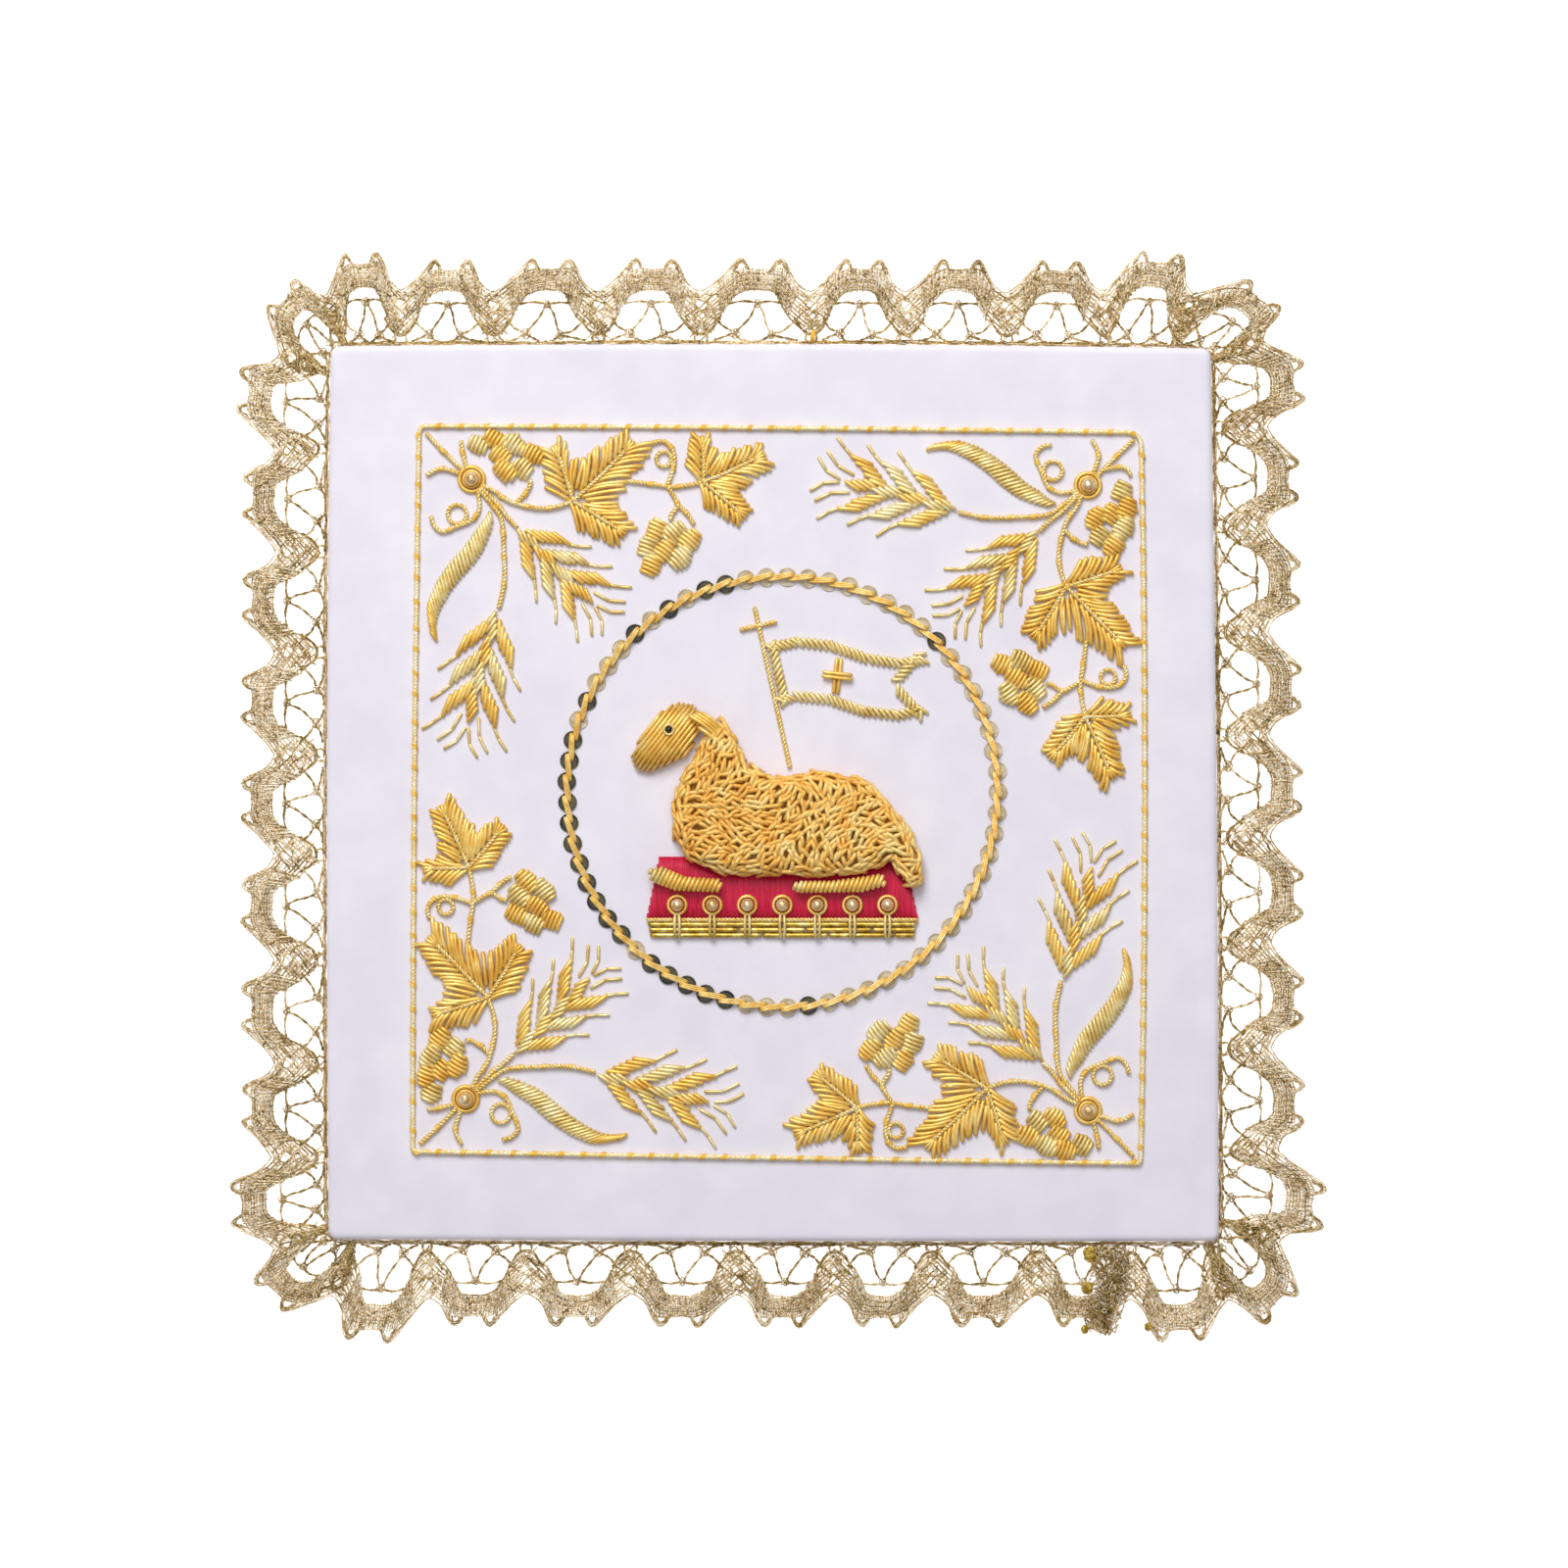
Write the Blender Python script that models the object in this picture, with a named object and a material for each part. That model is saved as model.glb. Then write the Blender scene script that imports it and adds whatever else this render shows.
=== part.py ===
"""Chalice pall: a stiffened square of white cloth with goldwork embroidery and a metallic lace edging.

The pall lies on its back with the embroidered face up: +X to the right of the face, +Y to its top and
+Z up. Sizes are in millimetres and places are measured from the middle of the panel; the last step
moves every piece so that the origin is under the middle of the whole outline. Meshes are in metres.
"""
import math
import random

import bmesh
import bpy
from mathutils import Matrix, Vector

MM = 0.001
WELD = 0.00001                 # metres within which a curve's cap is joined to its side
GAP = 0.3                      # clearance between pieces that touch on the real object

# Panel: a stiff board covered in white satin
PANEL_THICK = 3.2
PANEL_EDGE_ROUND = 1.3
PANEL_CORNER_RADIUS = 1.8
PANEL_SHIFT = (-0.92, 0.62)    # from the middle of the whole outline to the middle of the panel
PANEL_CORNERS = [(-88.5, 89.5), (87.7, 89.1), (89.3, -89.7), (-88.9, -89.3)]   # clockwise from top left
PANEL_BOW = [0.6, 0.4, 0.2, 0.6]                                               # top, right, bottom, left

# Lace edging: forty scalloped repeats, gathered at the corners
LACE_THICK = 1.0
LACE_VALLEY = 10.7             # from the foot to the dip between two scallops
CORNER_LEAN = 20.0             # degrees that the gathers lean towards the diagonal
END_STRETCH = [(1.10, 1.14), (1.10, 1.26), (1.18, 1.21), (1.16, 1.10)]   # first and last of a side
CORNER_STRETCH = [1.02, 1.18, 1.07, 0.96]          # after the top, right, bottom and left sides
GATHER_STRETCH = 1.08          # the dips at the corners lie further out
LACE_DIPS = [                  # distance of each dip from the side's first corner, going clockwise
    [2.6, 13.9, 32.5, 53.5, 74.1, 96.2, 115.2, 135.4, 155.0, 169.2],
    [2.2, 15.7, 35.5, 56.8, 77.4, 98.0, 119.2, 140.3, 160.9, 174.8],
    [2.2, 17.6, 36.3, 57.4, 76.8, 96.6, 117.8, 138.8, 158.6, 173.5],
    [2.2, 16.3, 35.3, 55.9, 77.0, 97.0, 117.6, 137.8, 158.4, 173.7],
]
# One repeat: share of the pitch from dip to dip, and height above the foot for a plain scallop
SCALLOP_EDGE = [(0.08, 10.9), (0.26, 14.2), (0.33, 16.2), (0.41, 17.0), (0.49, 15.0),
                (0.59, 15.1), (0.65, 16.5), (0.74, 17.0), (0.80, 15.1), (0.86, 12.2)]
LACE_WINDOWS = {
    "top": [(0.30, 8.9), (0.37, 10.0), (0.56, 10.6), (0.66, 10.2), (0.70, 8.5), (0.50, 8.6)],
    "left": [(0.27, 7.7), (0.45, 7.6), (0.40, 5.2), (0.33, 3.4), (0.24, 3.6), (0.19, 5.4)],
    "right": [(0.565, 7.6), (0.71, 7.7), (0.78, 5.2), (0.76, 3.8), (0.68, 2.6), (0.62, 3.2)],
    "centre": [(0.48, 6.8), (0.54, 6.8), (0.575, 4.8), (0.585, 1.8), (0.47, 1.1), (0.37, 1.5)],
}
WINDOW_UNEVENNESS = 0.22
LUMP_BOTTOM = 0.25
LUMP_TOP_SHARE = 0.55          # how much narrower the top of a lump is
JOIN_LUMPS = [                 # the crumpled overlap where the lace's two ends meet
    {"at": (65.4, -92.8), "radii": (3.0, 2.6), "height": 2.4},
    {"at": (65.0, -99.8), "radii": (3.4, 4.6), "height": 2.0},
]

# Border cord, couched round the field
BORDER_CORNERS = [(-70.7, 73.4), (73.6, 72.1), (73.5, -74.0), (-72.0, -71.6)]
BORDER_BOW = [0.25, 0.8, 0.1, 0.3]
BORDER_TURN = 1.2              # radius of the cord's turn at a corner
BORDER_TURN_BULGE = 0.3        # how near the turn comes to the square corner, as a share of it
BORDER_CORD_DIAMETER = 1.3

# Medallion: sequins under a laid cord
MEDALLION_CENTRE = (1.9, 0.3)
MEDALLION_RADIUS = 43.1
SEQUIN_COUNT = 65
SEQUIN_DIAMETER = 3.8
SEQUIN_THICK = 0.4
SEQUIN_NECK = 0.7              # half the band's width where two sequins meet
SEQUIN_FLAT = 0.2              # half of a sequin's flat edge, as a share of the pitch
MEDALLION_CORD_DIAMETER = 1.6

# Goldwork cords, chips and beads of the corner sprigs
CORD_WIDTH = 1.1
CORD_HEIGHT = 1.0
CHIP_HEIGHT = 0.9
CORNER_BEAD_RADIUS = 1.45
HUB_RADIUS = 2.9
LOOP_WIDTH = 0.9

# A corner sprig, measured from its corner of the border: along one side, then along the other
HUB_AT = (10.5, 10.6)
RAYS = [[(1.5, 1.5), (8.6, 8.7)],
        [(8.4, 3.0), (9.4, 8.2)],
        [(1.5, 9.8), (4.3, 8.5), (8.1, 9.5)]]
VINE = [(12.7, 11.9), (15.2, 13.1), (17.6, 14.8), (20.2, 15.7), (23.6, 16.4), (26.8, 16.2)]
VINE_TIP = [(42.7, 11.2), (46.0, 11.5), (50.2, 12.1), (53.2, 11.9)]
GRAPE_STALK = [(19.6, 15.2), (21.4, 13.2), (22.3, 11.4), (22.1, 10.7)]
WHEAT_STALK_LONG = [(12.0, 12.6), (14.9, 16.2), (16.5, 19.0), (16.9, 24.6), (17.0, 31.0), (15.9, 35.9)]
WHEAT_STALK_SHORT = [(12.4, 12.3), (15.9, 15.9), (17.8, 18.4), (19.2, 19.8)]
TENDRIL = [(11.7, 13.0), (12.0, 16.4), (10.6, 18.7), (7.2, 20.2), (4.6, 21.1), (2.9, 19.8), (2.4, 18.0)]
TENDRIL_LOOP = {"at": (7.6, 17.6), "radius": 1.9}
TENDRIL_TIP = [(49.6, 11.8), (50.6, 9.0), (51.0, 6.2), (50.2, 4.0), (48.6, 3.0), (46.6, 3.3)]
TENDRIL_TIP_LOOP = {"at": (48.9, 6.6), "radius": 1.5}
GRAPE_FORK = [[(49.8, 12.2), (51.6, 15.6), (50.5, 17.6)],
              [(51.6, 15.6), (53.6, 17.6), (54.9, 19.6)]]
LEAVES = {                     # lobe: bearing of its vein in degrees, length and half width
    "leaf_a": {"at": (30.8, 15.0), "stem": 158.0,
               "lobes": [(108.0, 11.6, 3.6), (44.0, 16.8, 4.2), (-32.0, 12.2, 3.8)]},
    "leaf_b": {"at": (56.8, 11.2), "stem": 186.0,
               "lobes": [(91.0, 9.0, 3.1), (24.0, 13.4, 3.6), (-40.0, 10.8, 3.3)]},
}
LEAF_STEM = 2.4                # from a leaf's centre to its edge beside the stalk
LEAF_NOTCH = 0.64              # from the centre to a notch, as a share of its lobes' mean length
LOBE_EDGE = [(0.36, 0.9), (0.78, 0.95)]      # share of the lobe's length, share of its half width
LOBE_TIP = 0.6                 # half width of a lobe's blunt tip
GRAPES = {
    "grapes_a": {"chips": 62.0, "at": [(11.8, 3.8), (15.3, 2.9), (19.1, 3.6), (16.3, 5.9),
                                       (22.5, 5.5), (17.2, 9.0), (20.7, 8.4)]},
    "grapes_b": {"chips": -35.0, "at": [(47.5, 20.7), (51.0, 21.2), (54.0, 22.8), (45.5, 24.2),
                                        (49.1, 24.8), (52.2, 26.4), (46.3, 27.9)]},
}
GRAPE_RADII = (2.3, 2.6)       # along and across its chips
EARS = {                       # foot of the ear, bearing of its axis, and its size
    "wheat_a": {"at": (15.6, 36.9), "bearing": -104.5, "scale": 1.0},
    "wheat_b": {"at": (19.7, 20.3), "bearing": -45.0, "scale": 0.92},
}
GRAIN_STARTS = [1.6, 7.8, 14.0]
GRAIN_PITCH_OUT = (4.3, 3.5)   # from a grain's first chip to its last, along and out from the axis
CHIP_RUN = 4.1                 # length of a grain's chips
GRAIN_TIP_OUT = 1.4            # how far a grain's last chip turns out
GRAIN_END = 5.0                # from a grain's start to where it leaves the middle row again
RACHIS_HALF = 0.9
AWN_RUN = (4.4, 3.7)
AWN_WIDTH = 0.9
EAR_CROWN = [(21.4, 1.4), (27.4, 6.0), (28.2, 5.4), (23.6, 0.9), (28.9, 4.0), (29.6, 3.4)]
EAR_TIP = 24.8
BLADE_LINE = [(14.3, 18.2), (13.4, 20.4), (10.7, 24.8), (6.6, 29.6), (3.8, 34.0), (2.5, 37.8), (2.9, 41.8)]
BLADE_HALF_WIDTHS = [0.5, 1.1, 1.5, 1.5, 1.4, 1.25, 0.5]

# The figure inside the medallion, measured from its centre
BOOK_COVER = [(-24.5, -13.0), (24.5, -13.0), (27.0, -25.3), (-27.0, -25.3)]
BOOK_COVER_HEIGHT = 1.1
BOOK_PAGES = [(-27.0, -25.7), (27.0, -25.7), (26.4, -29.3), (-26.4, -29.3)]
BOOK_PAGES_HEIGHT = 1.3
SEAL_COUNT = 7
SEAL_PITCH = 7.0
SEAL_ROW = -22.6
SEAL_RADIUS = 1.3
LAMB_BODY = [(-19.0, -13.4), (-21.8, -8.5), (-22.0, -2.0), (-20.6, 2.6), (-17.8, 6.4), (-16.2, 10.0),
             (-14.2, 14.0), (-11.4, 14.2), (-8.8, 10.6), (-6.4, 5.6), (-1.0, 3.2), (8.5, 4.2),
             (16.5, 2.8), (21.6, -2.0), (25.4, -7.4), (28.2, -13.6), (27.8, -18.4), (25.2, -19.4),
             (23.2, -16.8), (21.6, -14.2), (16.0, -16.4), (8.0, -17.0), (-3.0, -16.8), (-12.0, -16.6)]
LAMB_BODY_HEIGHT = 5.4
PADDING_ROUND = 1.2            # rounding of the padded body and head
LAMB_HEAD = [(-15.4, 14.6), (-17.6, 17.4), (-21.0, 18.0), (-24.8, 15.6), (-28.6, 10.6), (-30.2, 6.8),
             (-29.2, 4.4), (-26.6, 3.8), (-23.0, 5.2), (-19.4, 7.0), (-17.2, 10.6)]
LAMB_HEAD_HEIGHT = 4.4
FORELEG = [(-12.0, -17.5), (-19.2, -17.0), (-24.0, -15.0), (-26.6, -15.6), (-26.2, -17.8), (-21.4, -19.6),
           (-12.6, -19.9)]
HINDLEG = [(20.0, -16.4), (10.0, -17.9), (3.6, -17.9), (1.2, -18.8), (3.2, -20.0), (16.0, -19.9),
           (20.6, -18.6)]
LEG_HEIGHT = 2.2
LEG_ROUND = 0.5
STAFF_WIDTH = 1.0
STAFF_ENDS = [(1.5, 4.9), (-5.6, 37.0)]
STAFF_CROSSBAR = [(-8.4, 32.4), (-1.2, 34.0)]
BANNER = [(-3.1, 29.6), (3.0, 31.0), (10.0, 30.1), (17.0, 27.6), (23.6, 26.6), (28.6, 27.4), (23.4, 21.4),
          (28.8, 15.6), (23.0, 14.4), (16.0, 15.2), (9.0, 17.6), (2.4, 18.2), (-0.3, 17.2)]
BANNER_BAND = 1.9
BANNER_HEIGHT = 1.0


def add_collection(name):
    """Add an empty collection to the scene."""
    collection = bpy.data.collections.new(name)
    bpy.context.scene.collection.children.link(collection)
    return collection


def add_material(name, colour, roughness, metallic):
    """Make a Principled material of one colour (linear RGB)."""
    material = bpy.data.materials.new(name)
    material.use_nodes = True
    shader = material.node_tree.nodes["Principled BSDF"]
    shader.inputs["Base Color"].default_value = (*colour, 1.0)
    shader.inputs["Roughness"].default_value = roughness
    shader.inputs["Metallic"].default_value = metallic
    material.diffuse_color = (*colour, 1.0)
    return material


def metres(points, height=0.0):
    """Turn plan points in millimetres into vectors in metres at one height."""
    return [Vector((x * MM, y * MM, height * MM)) for x, y in points]


def closed_mesh(curve, name):
    """Turn a curve into a welded, closed mesh and drop the curve."""
    holder = bpy.data.objects.new(name, curve)
    bpy.context.scene.collection.objects.link(holder)
    graph = bpy.context.evaluated_depsgraph_get()
    mesh = bpy.data.meshes.new_from_object(holder.evaluated_get(graph))
    bpy.data.objects.remove(holder)
    shell = bmesh.new()
    shell.from_mesh(mesh)
    bmesh.ops.remove_doubles(shell, verts=shell.verts, dist=WELD)
    bmesh.ops.dissolve_degenerate(shell, edges=shell.edges, dist=WELD / 10)
    bmesh.ops.recalc_face_normals(shell, faces=shell.faces)
    shell.to_mesh(mesh)
    shell.free()
    mesh.name = name
    return mesh


def flat_curve(name, outlines):
    """Make a filled 2D curve from an outline and its holes, given in millimetres."""
    curve = bpy.data.curves.new(name, "CURVE")
    curve.dimensions = "2D"
    curve.fill_mode = "BOTH"
    for outline in outlines:
        spline = curve.splines.new("POLY")
        spline.points.add(len(outline) - 1)
        for point, (x, y) in zip(spline.points, outline):
            point.co = (x * MM, y * MM, 0.0, 1.0)
        spline.use_cyclic_u = True
    return curve


def plate(name, outlines, bottom, height, edge_round=0.0, grow=0.0):
    """Make a flat solid from an outline with holes; its upper and lower edges may be rounded."""
    curve = flat_curve(name, outlines)
    curve.bevel_depth = edge_round * MM
    curve.bevel_resolution = 1
    curve.extrude = (height / 2 - edge_round) * MM
    curve.offset = (grow - edge_round) * MM
    mesh = closed_mesh(curve, name)
    mesh.transform(Matrix.Translation((0.0, 0.0, (bottom + height / 2) * MM)))
    return mesh


def taper(points, half_widths):
    """Give the outline of a ribbon whose half width changes from point to point."""
    left = []
    right = []
    for index, point in enumerate(points):
        before = Vector(points[max(index - 1, 0)])
        after = Vector(points[min(index + 1, len(points) - 1)])
        along = (after - before).normalized()
        across = Vector((-along.y, along.x)) * half_widths[index]
        left.append(tuple(Vector(point) + across))
        right.append(tuple(Vector(point) - across))
    return left + right[::-1]


def stroke(points, width):
    """Give the outline of a ribbon of one width along a line of points."""
    return taper(points, [width / 2] * len(points))


def circle(centre, radius, count):
    """Give a regular polygon's points about a centre."""
    turns = [2 * math.pi * step / count for step in range(count)]
    return [(centre[0] + radius * math.cos(turn), centre[1] + radius * math.sin(turn)) for turn in turns]


def fuse(name, meshes):
    """Join overlapping solids into one closed mesh with exact unions."""
    body = bpy.data.objects.new(name, meshes[0])
    bpy.context.scene.collection.objects.link(body)
    helpers = []
    for mesh in meshes[1:]:
        helper = bpy.data.objects.new(name + "_helper", mesh)
        bpy.context.scene.collection.objects.link(helper)
        helpers.append(helper)
        union = body.modifiers.new("union", "BOOLEAN")
        union.operation = "UNION"
        union.solver = "EXACT"
        union.object = helper
    graph = bpy.context.evaluated_depsgraph_get()
    fused = bpy.data.meshes.new_from_object(body.evaluated_get(graph))
    for helper in helpers + [body]:
        bpy.data.objects.remove(helper)
    fused.name = name
    return fused


def add_part(collection, name, mesh, material, place=Matrix()):
    """Add one named piece to the model, moved from the panel's middle to the part's origin."""
    part = bpy.data.objects.new(name, mesh)
    collection.objects.link(part)
    mesh.materials.clear()
    mesh.materials.append(material)
    part.matrix_world = Matrix.Translation(metres([PANEL_SHIFT])[0]) @ place
    return part


def shifted(points, offset):
    """Move plan points by an offset."""
    return [(x + offset[0], y + offset[1]) for x, y in points]


def panel_outline(grow, side_steps, corner_steps):
    """Walk clockwise round the bowed, round-cornered square; grow moves it outwards."""
    points = []
    radius = PANEL_CORNER_RADIUS + grow
    corners = [Vector(corner) for corner in PANEL_CORNERS]
    for index, corner in enumerate(corners):
        after = corners[(index + 1) % 4]
        before = corners[index - 1]
        arriving = (corner - before).normalized()
        leaving = (after - corner).normalized()
        outer = corner + (arriving - leaving) * grow
        hub = outer - arriving * radius + leaving * radius
        for step in range(corner_steps + 1):
            turn = 0.5 * math.pi * step / corner_steps
            points.append(tuple(hub - leaving * radius * math.cos(turn) + arriving * radius * math.sin(turn)))
        outward = Vector((-leaving.y, leaving.x))
        next_leaving = (corners[(index + 2) % 4] - after).normalized()
        start = outer + leaving * radius
        end = after + (leaving - next_leaving) * grow - leaving * radius
        for step in range(1, side_steps):
            share = step / side_steps
            bow = outward * PANEL_BOW[index] * 4 * share * (1 - share)
            points.append(tuple(start.lerp(end, share) + bow))
    return points


class FootLine:
    """The line that the lace is sewn along, walked clockwise from the top left corner."""

    def __init__(self):
        self.corners = [Vector(corner) for corner in PANEL_CORNERS]
        self.inner = panel_outline(grow=GAP, side_steps=8, corner_steps=4)

    def side(self, index):
        """Give a side's start, direction, outward normal and length."""
        start = self.corners[index % 4]
        along = self.corners[(index + 1) % 4] - start
        direction = along.normalized()
        return start, direction, Vector((-direction.y, direction.x)), along.length

    def foot(self, index, distance):
        """Give the point on a side at a distance from its first corner."""
        start, direction, outward, length = self.side(index)
        share = min(max(distance / length, 0.0), 1.0)
        bow = PANEL_BOW[index % 4] * 4 * share * (1 - share)
        return start + direction * distance + outward * (bow + GAP)


def lace_repeats(line):
    """List the repeats clockwise: each has two feet, two outward directions and a stretch."""
    repeats = []
    for index in range(4):
        _, direction, outward, _ = line.side(index)
        lean = math.tan(math.radians(CORNER_LEAN))
        dips = LACE_DIPS[index]
        stations = [(line.foot(index, distance), outward) for distance in dips]
        stations[0] = (stations[0][0], (outward - direction * lean).normalized())
        stations[-1] = (stations[-1][0], (outward + direction * lean).normalized())
        for order in range(len(dips) - 1):
            stretch = {0: END_STRETCH[index][0], len(dips) - 2: END_STRETCH[index][1]}.get(order, 1.0)
            repeats.append({"from": stations[order], "to": stations[order + 1], "stretch": stretch,
                            "corner": None})
        _, next_direction, next_outward, _ = line.side(index + 1)
        first = LACE_DIPS[(index + 1) % 4][0]
        landing = (line.foot(index + 1, first), (next_outward - next_direction * lean).normalized())
        corner = line.corners[(index + 1) % 4] + (outward + next_outward) * GAP
        repeats.append({"from": stations[-1], "to": landing, "stretch": CORNER_STRETCH[index],
                        "corner": corner})
    return repeats


def lace_point(repeat, share, height):
    """Give the plan point of a repeat at a share of its pitch and a height above the foot."""
    start, start_way = repeat["from"]
    end, end_way = repeat["to"]
    foot = start.lerp(end, share)
    if repeat["corner"] is not None:
        foot = start.lerp(repeat["corner"], share).lerp(repeat["corner"].lerp(end, share), share)
    way = start_way.lerp(end_way, share).normalized()
    return foot + way * height * repeat["stretch"]


def lace_outlines(line):
    """Give the lace's scalloped outer edge, its foot and the windows in each repeat."""
    hand = random.Random(11)
    repeats = lace_repeats(line)
    edge = []
    windows = []
    for order, repeat in enumerate(repeats):
        before = repeats[order - 1]
        mean = (before["stretch"] + repeat["stretch"]) / 2
        if before["corner"] is not None or repeat["corner"] is not None:
            mean *= GATHER_STRETCH
        start, way = repeat["from"]
        edge.append(tuple(start + way * LACE_VALLEY * mean))
        edge += [tuple(lace_point(repeat, share, height)) for share, height in SCALLOP_EDGE]
        for shape in LACE_WINDOWS.values():
            drift = Vector((hand.uniform(-1, 1), hand.uniform(-1, 1))) * WINDOW_UNEVENNESS
            windows.append([tuple(lace_point(repeat, share, height) + drift) for share, height in shape])
    return [edge, line.inner] + windows


def lace_mesh(line):
    """Make the lace as one pierced sheet with the lumps of its join."""
    sheet = plate("lace_sheet", lace_outlines(line), 0.0, LACE_THICK)
    lumps = []
    for lump in JOIN_LUMPS:
        shell = bmesh.new()
        bmesh.ops.create_cone(shell, cap_ends=True, segments=9, radius1=MM, radius2=LUMP_TOP_SHARE * MM,
                              depth=MM)
        rise = lump["height"] - LUMP_BOTTOM
        bmesh.ops.scale(shell, vec=(*lump["radii"], rise), verts=shell.verts)
        bmesh.ops.translate(shell, vec=metres([lump["at"]], LUMP_BOTTOM + rise / 2)[0], verts=shell.verts)
        mesh = bpy.data.meshes.new("lace_join")
        shell.to_mesh(mesh)
        shell.free()
        lumps.append(mesh)
    return fuse("lace_edging", [sheet] + lumps)


def tube(name, points, diameter, height, closed):
    """Make a round cord along plan points, lying at one height."""
    curve = bpy.data.curves.new(name, "CURVE")
    curve.dimensions = "3D"
    curve.bevel_depth = diameter / 2 * MM
    curve.bevel_resolution = 1
    curve.use_fill_caps = not closed
    spline = curve.splines.new("POLY")
    spline.points.add(len(points) - 1)
    for point, spot in zip(spline.points, metres(points, height)):
        point.co = (*spot, 1.0)
    spline.use_cyclic_u = closed
    return closed_mesh(curve, name)


def border_cord():
    """Make the border cord, slightly bowed along its sides, with a rounded turn at each corner."""
    points = []
    side_steps = 4
    for index, corner in enumerate(BORDER_CORNERS):
        here = Vector(corner)
        after = Vector(BORDER_CORNERS[(index + 1) % 4])
        arriving = (here - Vector(BORDER_CORNERS[index - 1])).normalized()
        leaving = (after - here).normalized()
        outward = Vector((-leaving.y, leaving.x))
        points.append(tuple(here - arriving * BORDER_TURN))
        points.append(tuple(here + (leaving - arriving) * BORDER_TURN * BORDER_TURN_BULGE))
        points.append(tuple(here + leaving * BORDER_TURN))
        for step in range(1, side_steps):
            share = step / side_steps
            bow = outward * BORDER_BOW[index] * 4 * share * (1 - share)
            points.append(tuple(here.lerp(after, share) + bow))
    height = PANEL_THICK + GAP + BORDER_CORD_DIAMETER / 2
    return tube("border_cord", points, BORDER_CORD_DIAMETER, height, True)


def sequin_band():
    """Make the ring of sequins as one scalloped band of discs."""
    pitch = 2 * math.pi / SEQUIN_COUNT
    half = SEQUIN_DIAMETER / 2
    reach = math.sqrt(half ** 2 - (SEQUIN_FLAT * pitch * MEDALLION_RADIUS) ** 2)
    steps = [(-0.5, SEQUIN_NECK), (-SEQUIN_FLAT, reach), (SEQUIN_FLAT, reach)]
    outlines = []
    for side in (1, -1):
        outline = []
        for order in range(SEQUIN_COUNT):
            for share, rise in steps:
                turn = (order + share) * pitch
                radius = MEDALLION_RADIUS + side * rise
                outline.append((radius * math.cos(turn), radius * math.sin(turn)))
        outlines.append(shifted(outline, MEDALLION_CENTRE))
    return plate("sequin_band", outlines, PANEL_THICK + GAP, SEQUIN_THICK)


def medallion_cord():
    """Make the cord that is laid over the sequins."""
    height = PANEL_THICK + GAP + SEQUIN_THICK + GAP + MEDALLION_CORD_DIAMETER / 2
    return tube("medallion_cord", circle(MEDALLION_CENTRE, MEDALLION_RADIUS, SEQUIN_COUNT),
                MEDALLION_CORD_DIAMETER, height, True)


def bead(name, centre, bottom, radius):
    """Make a round bead that sits at a height over a plan point."""
    shell = bmesh.new()
    bmesh.ops.create_icosphere(shell, subdivisions=2, radius=radius * MM)
    bmesh.ops.translate(shell, vec=metres([centre], bottom + radius)[0], verts=shell.verts)
    mesh = bpy.data.meshes.new(name)
    shell.to_mesh(mesh)
    shell.free()
    return mesh


def sprig_points(points):
    """Turn places along the two sides of a corner into plan points of the top left sprig."""
    return [(along, -down) for along, down in points]


def sprig_cord(points):
    """Make one stretch of flat-laid cord of a sprig."""
    return plate("cord", [stroke(sprig_points(points), CORD_WIDTH)], PANEL_THICK + GAP, CORD_HEIGHT)


def sprig_loop(centre, radius, width):
    """Make a closed ring of cord."""
    middle = sprig_points([centre])[0]
    rings = [circle(middle, radius + width / 2, 10), circle(middle, radius - width / 2, 10)]
    return plate("loop", rings, PANEL_THICK + GAP, CORD_HEIGHT)


def stem_root():
    """Make the ring round the bead with its rays, tendril, vine and stalks."""
    ring_width = HUB_RADIUS - CORNER_BEAD_RADIUS - GAP
    pieces = [sprig_loop(HUB_AT, HUB_RADIUS - ring_width / 2, ring_width)]
    for path in RAYS + [TENDRIL, VINE, GRAPE_STALK, WHEAT_STALK_LONG, WHEAT_STALK_SHORT]:
        pieces.append(sprig_cord(path))
    pieces.append(sprig_loop(TENDRIL_LOOP["at"], TENDRIL_LOOP["radius"], LOOP_WIDTH))
    return fuse("stem_root", pieces)


def stem_tip():
    """Make the vine between the leaves with its tendril and the stalks of the far grapes."""
    pieces = [sprig_cord(path) for path in [VINE_TIP, TENDRIL_TIP] + GRAPE_FORK]
    pieces.append(sprig_loop(TENDRIL_TIP_LOOP["at"], TENDRIL_TIP_LOOP["radius"], LOOP_WIDTH))
    return fuse("stem_tip", pieces)


def polar(centre, bearing, distance, aside=0.0):
    """Give the point at a bearing and distance, moved aside to the left of that line."""
    turn = math.radians(bearing)
    along = Vector((math.cos(turn), math.sin(turn)))
    left = Vector((-along.y, along.x))
    return tuple(Vector(centre) + along * distance + left * aside)


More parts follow.
